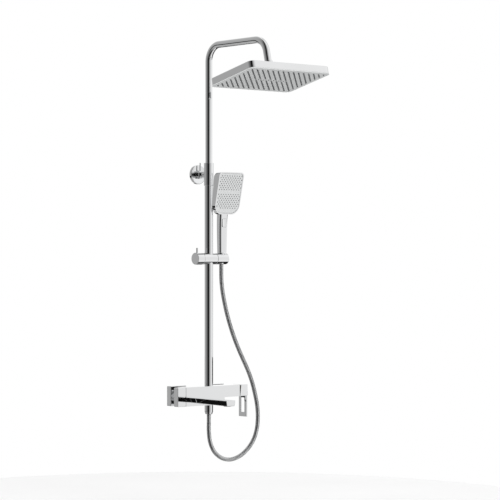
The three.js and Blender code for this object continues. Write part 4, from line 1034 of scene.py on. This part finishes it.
class SHOWER_OT_slider(bpy.types.Operator):
    """Builds the slider, its clamp knob and the hand shower's holder"""

    bl_idname = "shower.slider"
    bl_label = "Slider and Holder"

    def execute(self, context):
        place = sideways(0, RISER_FORWARD, SLIDER_Z)
        edge = sizes().turned_edge
        radius = size("slider_body").z / 2
        riser = size("riser_lower_tube").x / 2
        body = lathe("slider_drum", turned_ends(radius, SLIDER_LOW.x, SLIDER_HIGH.x, edge),
                     place, 96)
        through, bush_radius, bush_half = 0.03, riser + 0.0018, 0.0093
        bore = lathe("riser bore", [(riser + GAP, SLIDER_Z - through),
                                    (riser + GAP, SLIDER_Z + through)],
                     upright(RISER_X, RISER_FORWARD), 80)
        bush = lathe("bush room", [(bush_radius, SLIDER_Z - bush_half),
                                   (bush_radius, SLIDER_Z + bush_half)],
                     upright(RISER_X, RISER_FORWARD), 48)
        past = 0.001
        screw = lathe("screw bore", [(SPINDLE_HOLE, SLIDER_LOW.x - past), (SPINDLE_HOLE, RISER_X)],
                      place, 40)
        pivot_start = RISER_X + 0.0177
        pivot = lathe("pivot bore", [(PIVOT_HOLE, pivot_start), (PIVOT_HOLE, SLIDER_HIGH.x + past)],
                      place, 40)
        carve(body, [bore, bush, screw, pivot])
        dress(body, "slider", "chrome", "slider_body")

        low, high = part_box("slider_knob")
        pin_low, pin_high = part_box("slider_knob_pin")
        pin_x = (pin_low.x + pin_high.x) / 2
        pin_radius = (pin_high.x - pin_low.x) / 2
        knob = lathe("slider_knob_drum", turned_ends((high.z - low.z) / 2, low.x, high.x, edge),
                     place, 96)
        hole = lathe("pin hole", [(pin_radius + GAP, pin_low.z - GAP),
                                  (pin_radius + GAP, high.z + OVERCUT)],
                     upright(pin_x, RISER_FORWARD), 40)
        socket = lathe("screw socket", [(SPINDLE_HOLE, high.x - SOCKET_DEPTH),
                                        (SPINDLE_HOLE, high.x + past)], place, 40)
        carve(knob, [hole, socket])
        dress(knob, "clamp_knob", "chrome", "slider_knob")
        pin = lathe("slider_knob_peg", turned_ends(pin_radius, pin_low.z, pin_high.z, 0.0009),
                    upright(pin_x, RISER_FORWARD), 48)
        dress(pin, "clamp_knob", "chrome", "slider_knob_pin")

        low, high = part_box("handset_holder")
        nut_low, nut_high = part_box("hose_nut_upper")
        nut = middle("hose_nut_upper")
        nut_radius = (nut_high.x - nut_low.x) / 2
        holder = lathe("handset_holder_drum", turned_ends((high.z - low.z) / 2, low.x, high.x, edge),
                       place, 96)
        seat = nut_radius - NUT_TAPER + GAP
        taper = [(seat, nut_low.z - GAP), (nut_radius + GAP, nut_high.z - 0.0012),
                 (nut_radius + GAP, high.z + OVERCUT)]
        cup = lathe("nut seat", taper, upright(nut.x, -nut.y), 72)
        hose_way = 0.0082
        way = lathe("hose way", [(hose_way, low.z - OVERCUT), (hose_way, SLIDER_Z)],
                    upright(nut.x, -nut.y), 72)
        pivot_depth = 0.0103
        pivot = lathe("pivot bore", [(PIVOT_HOLE, low.x - past), (PIVOT_HOLE, low.x + pivot_depth)],
                      place, 40)
        carve(holder, [cup, way, pivot])
        dress(holder, "holder", "chrome", "handset_holder")
        return {"FINISHED"}


# ------------------------------------------------------------------ hand shower

SHELL_LOW, SHELL_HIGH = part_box("handset_shell")
HAND_X = (SHELL_LOW.x + SHELL_HIGH.x) / 2
HAND_FORWARD = RISER_FORWARD + 0.006
HAND_BACK = HAND_FORWARD + 0.0095
HANDLE_LENGTH = 0.146
FACE_TILT = math.radians(13)
FACE_SINK = 0.0006
FACE_RAISE = 0.004
BACK_LEAN = 0.012
HAND_HEAD_HEIGHT = 0.129
HAND_BORDER = 0.0035
HAND_HEAD_LOW = SHELL_HIGH.z - HAND_HEAD_HEIGHT
HAND_HEAD_MIDDLE = (HAND_HEAD_LOW + SHELL_HIGH.z) / 2
FACE_FORWARD = HAND_FORWARD + 0.036


def hand_face_frame(offset=0.0):
    """Middle of the hand shower's tilted front, with local Z out of the face and Y up it."""
    return (outward(HAND_X, FACE_FORWARD, HAND_HEAD_MIDDLE)
            @ Matrix.Rotation(FACE_TILT, 4, "X") @ Matrix.Translation((0, 0, offset)))


def front_at(z):
    """How far forward the tilted front is at a height."""
    return FACE_FORWARD + (z - HAND_HEAD_MIDDLE) * math.tan(FACE_TILT)


def head_corners(chin, crown):
    """Corner radii of one of the head's outlines, with its two wide ones at the chin."""
    return chin, crown, crown, chin


def hand_head():
    """Wedge of the hand shower's head: leaning back, tilted front, wide rounded chin."""
    low, high, past = HAND_HEAD_LOW, SHELL_HIGH.z, 0.0001
    outline = rounded_rectangle(SHELL_HIGH.x - SHELL_LOW.x, high - low,
                                head_corners(0.03, 0.012), 10)
    wedge = prism("hand_head", outline, HAND_FORWARD - 0.03, HAND_FORWARD + 0.08,
                  outward(HAND_X, 0, HAND_HEAD_MIDDLE))
    top = HAND_BACK + BACK_LEAN
    side = [(HAND_BACK - 0.005, low - 0.004), (front_at(low), low - past),
            (front_at(high), high + past), (top + 0.008, high + past),
            (top, high - 0.012), (HAND_BACK, low + 0.012)]
    side = filleted(side, [0, 0, 0, 0.004, 0.02, 0.006], 5)
    profile = prism("head profile", side, HAND_X - 0.07, HAND_X + 0.07, side_view())
    return carve(wedge, [profile], "INTERSECT")


def handle_lean(share):
    """How far forward the handle's middle is at a share of its length."""
    return 0.006 * share ** 4


def hand_handle():
    """Handle that widens a little upwards and bends forward into the head."""
    bottom, rings, steps = SHELL_LOW.z, [], 26
    for step in range(steps + 1):
        share = step / steps
        width, depth = 0.029 + 0.005 * share, 0.019 + 0.004 * share
        forward = HAND_FORWARD + handle_lean(share)
        outline = rounded_rectangle(width, depth, 0.0075, 7)
        rings.append([Vector((HAND_X + x, y - forward, bottom + share * HANDLE_LENGTH))
                      for x, y in outline])
    narrow, thin, rim = 0.96, 0.94, 0.0005
    foot = [Vector((HAND_X + (p.x - HAND_X) * narrow,
                    (p.y + HAND_FORWARD) * thin - HAND_FORWARD, bottom)) for p in rings[0]]
    rings[0] = [Vector((p.x, p.y, bottom + rim)) for p in rings[0]]
    return loft("hand_handle", [foot] + rings)


def hand_shell():
    """Chrome shell: head and handle in one, with the face's recess and the button's well."""
    shell = hand_head()
    carve(shell, [hand_handle()], "UNION")
    width = SHELL_HIGH.x - SHELL_LOW.x - 2 * HAND_BORDER
    height = (HAND_HEAD_HEIGHT - 2 * HAND_BORDER) / math.cos(FACE_TILT)
    recess_depth = 0.0042
    recess = slab("face recess", width, height, head_corners(0.0275, 0.0105),
                  [(0, -recess_depth), (0, 0.02)], hand_face_frame(), 10)
    button, place = size("handset_button"), middle("handset_button")
    travel, corner = 0.0024, 0.0043
    well_floor = -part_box("handset_button")[1].y - travel
    well = slab("button well", button.x + 2 * GAP, button.z + 2 * GAP, corner,
                [(0, well_floor), (0, HAND_FORWARD + 0.03)], outward(HAND_X, 0, place.z), 8)
    nut, stem, depth = middle("hose_nut_upper"), 0.0058, 0.0103
    throat = lathe("throat", [(stem, SHELL_LOW.z - OVERCUT), (stem, SHELL_LOW.z + depth)],
                   upright(nut.x, -nut.y), 40)
    carve(shell, [recess, well, throat])
    shell.name = "handset_body_shell"
    soften(shell, 0.0012, 4, 28)
    return dress(shell, "hand_shower", "chrome", "handset_shell")


def hand_face():
    """Pale spray face, sunk a little inside the chrome rim."""
    width = size("handset_face").x
    height = (HAND_HEAD_HEIGHT - 2 * HAND_BORDER - 2 * GAP) / math.cos(FACE_TILT) - 2 * GAP
    place = hand_face_frame()
    plate_back = -0.004
    plate = slab("handset_face_plate", width, height, head_corners(0.0272, 0.0102),
                 edge_layers(plate_back, -FACE_SINK, 0.0005), place, 10)
    band_height, band_floor = 0.0046, -FACE_SINK - 0.00035
    band = slab("middle band", width - 0.012, band_height, 0.0022,
                [(0, band_floor), (0, 0.001)], place @ Matrix.Translation((0, FACE_RAISE, 0)), 6)
    carve(plate, [band])
    return dress(plate, "hand_shower", "pale_plastic", "handset_face")


def hand_nozzles():
    """Two blocks of staggered nozzles, above and below the middle band."""
    place = hand_face_frame(-FACE_SINK)
    row_pitch, pitch, rows, columns = 0.0061, 0.0097, 8, 9
    shift, first_row = 0.0025, 0.0075
    edge_y, chin_y, chin_x = 0.058, -0.042, 0.034
    parts = []
    for block in (-1, 1):
        for row in range(rows):
            y = FACE_RAISE + block * (first_row + row * row_pitch)
            aside = shift if row % 2 else -shift
            for column in range(columns):
                x = (column - (columns - 1) / 2) * pitch + aside
                if abs(y) > edge_y or (y < chin_y and abs(x) > chin_x):
                    continue
                spot = place @ Matrix.Translation((x, y, 0))
                parts.append(nub(spot, sizes().nozzle_radius, 0.0009, 0.0007, 14))
    nozzles = merge("handset_nozzles", parts)
    return dress(nozzles, "hand_shower", "grey_silicone", "handset_nozzle_mat")


def spray_button():
    """Rounded push button with a shallow dish for the thumb."""
    low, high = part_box("handset_button")
    back, front = -high.y, -low.y
    place = outward(HAND_X, 0, (low.z + high.z) / 2)
    layers = edge_layers(back, front, 0.0009, 4)
    dish = 0.0005
    layers += [(0.002, front), (0.0035, front - 0.6 * dish), (0.006, front - dish)]
    button = slab("handset_push_button", high.x - low.x, high.z - low.z, 0.004, layers, place, 8)
    return dress(button, "spray_button", "chrome", "handset_button")


class SHOWER_OT_hand_shower(bpy.types.Operator):
    """Builds the hand shower: shell, spray face, nozzles and push button"""

    bl_idname = "shower.hand_shower"
    bl_label = "Hand Shower"

    def execute(self, context):
        hand_shell()
        hand_face()
        hand_nozzles()
        spray_button()
        return {"FINISHED"}


# ------------------------------------------------------------------ hose

HOSE_RADIUS = 0.007
HOSE_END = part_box("hose_nut_lower")[0].z + 0.012

# The hose's middle line from the hand shower to the outlet under the mixer: [x, forward] from
# the riser and height above the lower end, for a hand shower 460 mm up. It hangs in one loop.
HOSE_LINE = (
    (47, 3, 460), (47, 3, 431), (48, 3, 396), (53, 3, 361), (60, 3, 331), (70, 3, 296),
    (82, 3, 262), (96, 3, 228), (114, 3, 191), (134, 3, 155), (155, 3, 118), (172, 3, 81),
    (184, 3, 44), (193, 3, 7), (196, 3, -30), (192, 3, -67), (178, 3, -101), (154, 2, -129),
    (119, 2, -150), (83, 1, -157), (48, 1, -149), (21, 0, -128), (5, 0, -97), (0, 0, -64),
    (0, 0, -32), (0, 0, 0),
)


def spline(points, spacing):
    """Centripetal curve through the points, resampled at an even spacing."""
    raw = []
    ends = [points[0] * 2 - points[1]] + points + [points[-1] * 2 - points[-2]]
    for index in range(1, len(ends) - 2):
        p0, p1, p2, p3 = ends[index - 1:index + 3]
        t0 = 0.0
        t1 = t0 + (p1 - p0).length ** 0.5
        t2 = t1 + (p2 - p1).length ** 0.5
        t3 = t2 + (p3 - p2).length ** 0.5
        for step in range(24):
            t = t1 + (t2 - t1) * step / 24
            a1 = p0.lerp(p1, (t - t0) / (t1 - t0))
            a2 = p1.lerp(p2, (t - t1) / (t2 - t1))
            a3 = p2.lerp(p3, (t - t2) / (t3 - t2))
            b1 = a1.lerp(a2, (t - t0) / (t2 - t0))
            b2 = a2.lerp(a3, (t - t1) / (t3 - t1))
            raw.append(b1.lerp(b2, (t - t1) / (t2 - t1)))
    raw.append(points[-1])
    total = sum((b - a).length for a, b in zip(raw, raw[1:]))
    count = max(int(total / spacing), 1)
    even, travelled, target = [raw[0]], 0.0, total / count
    for a, b in zip(raw, raw[1:]):
        span = (b - a).length
        while travelled + span >= target - 1e-9 and len(even) < count:
            even.append(a.lerp(b, (target - travelled) / span))
            target += total / count
        travelled += span
    even.append(raw[-1])
    return even, total


def wound_tube(name, line, radius, pitch, groove, sides=20):
    """Metal hose wound from one band: its groove runs round it as a fine screw, with painted shade
    (the dark moulding finish) on the faces at the groove's bottom.
    """
    rings, phases = [], []
    # Share of each turn round the groove's bottom that gets the dark finish as painted shade
    travelled, painted_shade_share = 0.0, 0.16
    along = (line[1] - line[0]).normalized()
    across = along.orthogonal().normalized()
    for index, point in enumerate(line):
        if index:
            travelled += (point - line[index - 1]).length
        ahead = line[min(index + 1, len(line) - 1)]
        turned = (ahead - line[max(index - 1, 0)]).normalized()
        across = along.rotation_difference(turned) @ across
        along = turned
        other = along.cross(across)
        ring = []
        for side in range(sides):
            share = side / sides
            phase = (travelled / pitch + share) % 1
            crown = math.sin(math.pi * phase) ** 0.45
            reach = radius - groove * (1 - crown)
            angle = 2 * math.pi * share
            ring.append(point + reach * (math.cos(angle) * across + math.sin(angle) * other))
        rings.append(ring)
        phases.append(travelled / pitch)
    hose = loft(name, rings)
    hose.data.materials.append(finish_of("hose_steel"))
    hose.data.materials.append(finish_of("dark_plastic"))
    # Faces round the bottom of the groove take the dark moulding finish: painted shade in the
    # groove, not a dark part of the hose
    for face in hose.data.polygons:
        span, side = divmod(face.index, sides)
        share = (phases[span] + (side + 0.5) / sides) % 1 if span < len(line) - 1 else 0.5
        if not painted_shade_share < share < 1 - painted_shade_share:
            face.material_index = 1
    return hose


class SHOWER_OT_hose(bpy.types.Operator):
    """Builds the metal hose and the nuts at its two ends"""

    bl_idname = "shower.hose"
    bl_label = "Hose"

    def execute(self, context):
        edge = sizes().turned_edge
        low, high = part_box("hose_nut_upper")
        centre = middle("hose_nut_upper")
        wide = (high.x - low.x) / 2
        narrow = wide - NUT_TAPER
        hose_hole, stem_hole, seat = HOSE_RADIUS + GAP, HOSE_RADIUS + 3 * GAP, SLIDER_Z - 0.004
        lip = 0.0015
        profile = [(hose_hole, low.z), (narrow - edge, low.z),
                   (narrow - edge * 0.3, low.z + edge * 0.3), (narrow, low.z + edge),
                   (wide, high.z - lip), (wide - lip / 5, high.z - 0.0004),
                   (wide - 0.0012, high.z), (stem_hole, high.z), (stem_hole, seat),
                   (hose_hole, seat)]
        upper = lathe("hose_cone_nut", profile, upright(centre.x, -centre.y), 72, closed=True)
        dress(upper, "hand_shower", "chrome", "hose_nut_upper")

        low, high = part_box("hose_nut_lower")
        wide = (high.x - low.x) / 2
        rim, foot, cone, seat = 0.0004, 0.0101, low.z + 0.0076, low.z + 0.014
        profile = [(hose_hole, low.z + rim), (hose_hole + rim, low.z), (foot, low.z),
                   (foot + 0.0005, low.z + 0.0005), (wide - rim, cone),
                   (wide, cone + 0.001), (wide, high.z - edge),
                   (wide - edge * 0.3, high.z - edge * 0.3), (wide - edge, high.z),
                   (stem_hole, high.z), (stem_hole, seat), (hose_hole, seat)]
        lower = lathe("hose_outlet_nut", profile, upright(RISER_X, RISER_FORWARD), 72, closed=True)
        dress(lower, "root", "chrome", "hose_nut_lower")

        points = [Vector((RISER_X + x / 1000, -RISER_FORWARD - out / 1000, HOSE_END + z / 1000))
                  for x, out, z in HOSE_LINE]
        line, real_length = spline(points, 0.0008)
        hose = wound_tube("shower_hose_band", line, HOSE_RADIUS - GAP, sizes().hose_pitch,
                          sizes().hose_groove)
        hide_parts("shower_hose")
        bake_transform(hose)
        return {"FINISHED"}


# ------------------------------------------------------------------ pieces kept from the model

class SHOWER_OT_inner_pieces(bpy.types.Operator):
    """Gives the model's own inner pieces their finishes: cartridges, seals, screws and pins"""

    bl_idname = "shower.inner_pieces"
    bl_label = "Inner Pieces"

    def execute(self, context):
        slots = {part["node"]: part["material_slot"] for part in frame["record"]["subparts"]}
        for name, node in frame["nodes"].items():
            if node.hide_render:
                continue
            node.data.materials.clear()
            node.data.materials.append(finish_of(slots[name]))
        return {"FINISHED"}


# ------------------------------------------------------------------ stage

# Brightness of the studio round the column as [compass angle, level]: 0 is the side that the
# camera's own -Y side faces, and angles grow towards +X. Dark stands between soft boxes give the
# plating its edges.
STUDIO = (
    (-180, 0.46), (-150, 0.44), (-112, 0.28), (-84, 0.12), (-66, 0.06), (-61, 0.004),
    (-32, 0.004), (-27, 0.2), (-18, 0.33), (11, 0.68), (40, 0.84), (60, 0.98), (88, 0.78),
    (120, 0.64), (139, 1.06), (160, 0.7), (180, 0.46),
)


class SHOWER_OT_stage(bpy.types.Operator):
    """Sets up the pale floor, the soft studio light and the camera"""

    bl_idname = "shower.stage"
    bl_label = "Stage"

    def execute(self, context):
        self.studio(context.scene)
        self.floor()
        self.lamp(context.scene)
        self.camera(context.scene)
        context.scene.view_settings.view_transform = "Standard"
        return {"FINISHED"}

    def studio(self, scene):
        """Light from all round, by direction, with plain white behind the column."""
        world = bpy.data.worlds.new("studio")
        scene.world = world
        world.use_nodes = True
        nodes, links = world.node_tree.nodes, world.node_tree.links
        nodes.clear()

        def node(kind, **settings):
            made = nodes.new(kind)
            for key, value in settings.items():
                setattr(made, key, value)
            return made

        def maths(operation, first, second=None):
            made = node("ShaderNodeMath", operation=operation)
            for socket, value in zip(made.inputs, (first, second)):
                if value is None:
                    continue
                if isinstance(value, (int, float)):
                    socket.default_value = value
                else:
                    links.new(value, socket)
            return made.outputs[0]

        where = node("ShaderNodeTexCoord")
        axes = node("ShaderNodeSeparateXYZ")
        links.new(where.outputs["Generated"], axes.inputs[0])
        x, y, z = axes.outputs
        compass = maths("ARCTAN2", x, maths("MULTIPLY", y, -1))
        share = maths("ADD", maths("DIVIDE", compass, 2 * math.pi), 0.5)
        ramp = node("ShaderNodeValToRGB")
        elements = ramp.color_ramp.elements
        while len(elements) > 1:
            elements.remove(elements[-1])
        for index, (angle, level) in enumerate(STUDIO):
            stop = elements[0] if index == 0 else elements.new((angle + 180) / 360)
            stop.position = (angle + 180) / 360
            stop.color = (level, level, level, 1)
        links.new(share, ramp.inputs["Fac"])

        # A dark table edge low on the right, where the drums of the slider pick it up
        low_side = maths("MULTIPLY", maths("GREATER_THAN", compass, math.radians(62)),
                         maths("LESS_THAN", compass, math.radians(160)))
        low_band = maths("MULTIPLY", maths("LESS_THAN", z, -0.05), maths("GREATER_THAN", z, -0.8))
        shadow = maths("MULTIPLY", low_side, low_band)

        # And one behind on the left, which the spout's undercut side picks up
        far_side = maths("MULTIPLY", maths("GREATER_THAN", compass, math.radians(-170)),
                         maths("LESS_THAN", compass, math.radians(-110)))
        far_band = maths("MULTIPLY", maths("LESS_THAN", z, -0.15), maths("GREATER_THAN", z, -0.4))
        shadow = maths("MAXIMUM", shadow, maths("MULTIPLY", far_side, far_band))
        lit = maths("SUBTRACT", 1, maths("MULTIPLY", shadow, 0.985))
        shaded = node("ShaderNodeMix", data_type="RGBA", blend_type="MULTIPLY")
        shaded.inputs["Factor"].default_value = 1
        links.new(ramp.outputs["Color"], shaded.inputs[6])
        grey = node("ShaderNodeCombineColor")
        for channel in grey.inputs:
            links.new(lit, channel)
        links.new(grey.outputs[0], shaded.inputs[7])

        # The camera and the matt pieces get an even white; only the plating sees the studio
        path = node("ShaderNodeLightPath")
        even = maths("MAXIMUM", path.outputs["Is Camera Ray"], path.outputs["Is Diffuse Ray"])
        choice = node("ShaderNodeMix", data_type="RGBA")
        links.new(even, choice.inputs["Factor"])
        links.new(shaded.outputs[2], choice.inputs[6])
        choice.inputs[7].default_value = (1, 1, 1, 1)
        background = node("ShaderNodeBackground")
        links.new(choice.outputs[2], background.inputs["Color"])
        output = node("ShaderNodeOutputWorld")
        links.new(background.outputs[0], output.inputs["Surface"])

    def floor(self):
        """Plain pale disc well under the hose."""
        radius, low, high = 1.4, -0.4, -0.39
        disc = [(radius, low), (radius, high)]
        floor = lathe("floor", disc, Matrix.Identity(4), 96)
        colour = bpy.context.scene.shower_colours.floor
        finish, surface = shader("floor_paint", colour, 0.0, 0.6)
        tint(finish, surface, noise(finish, 3, 2), shade(colour, 0.98), colour)
        floor.data.materials.append(finish)
        floor.visible_glossy = False

    def lamp(self, scene):
        """One large soft box high on the camera's side."""
        light = bpy.data.lights.new("soft_box", "AREA")
        light.shape = "RECTANGLE"
        light.size, light.size_y = 1.6, 1.2
        light.energy = 12
        lamp = bpy.data.objects.new("soft_box", light)
        lamp.location = (-0.6, -2.0, 1.9)
        lamp.rotation_euler = (Vector((0, -0.1, 0.5)) - lamp.location).to_track_quat(
            "-Z", "Y").to_euler()
        lamp.visible_glossy = False
        scene.collection.objects.link(lamp)

    def camera(self, scene):
        """Level view from the left of the front, at the slider's height."""
        lens = bpy.data.cameras.new("camera")
        lens.lens = 143.6
        lens.sensor_width = 36
        lens.shift_y = 0.014
        lens.dof.use_dof = False
        camera = bpy.data.objects.new("camera", lens)
        camera.location = (-3.8745, -4.8047, 0.425)
        camera.rotation_euler = (math.radians(90), 0, math.radians(-40.5))
        scene.collection.objects.link(camera)
        scene.camera = camera


# ------------------------------------------------------------------ panel and registration

PIECES = (
    SHOWER_OT_inlets, SHOWER_OT_mixer, SHOWER_OT_riser, SHOWER_OT_bracket, SHOWER_OT_overhead,
    SHOWER_OT_slider, SHOWER_OT_hand_shower, SHOWER_OT_hose, SHOWER_OT_inner_pieces,
    SHOWER_OT_stage,
)


class SHOWER_PT_column(bpy.types.Panel):
    """Lists the sizes, the colours and a button for each group of pieces"""

    bl_label = "Shower Column"
    bl_space_type = "VIEW_3D"
    bl_region_type = "UI"
    bl_category = "Shower"

    def draw(self, context):
        layout = self.layout
        for settings in (context.scene.shower_sizes, context.scene.shower_colours):
            section = layout.box()
            for name in settings.__annotations__:
                section.prop(settings, name)
        for operator in PIECES:
            layout.operator(operator.bl_idname)


CLASSES = (ShowerSizes, ShowerColours, *PIECES, SHOWER_PT_column)


def register():
    for kind in CLASSES:
        bpy.utils.register_class(kind)
    bpy.types.Scene.shower_sizes = bpy.props.PointerProperty(type=ShowerSizes)
    bpy.types.Scene.shower_colours = bpy.props.PointerProperty(type=ShowerColours)


def unregister():
    del bpy.types.Scene.shower_sizes
    del bpy.types.Scene.shower_colours
    for kind in reversed(CLASSES):
        bpy.utils.unregister_class(kind)


def main():
    register()
    bpy.ops.shower.inlets()
    bpy.ops.shower.mixer()
    bpy.ops.shower.riser()
    bpy.ops.shower.bracket()
    bpy.ops.shower.overhead()
    bpy.ops.shower.slider()
    bpy.ops.shower.hand_shower()
    bpy.ops.shower.hose()
    bpy.ops.shower.inner_pieces()
    bpy.ops.shower.stage()


if __name__ == "__main__":
    main()
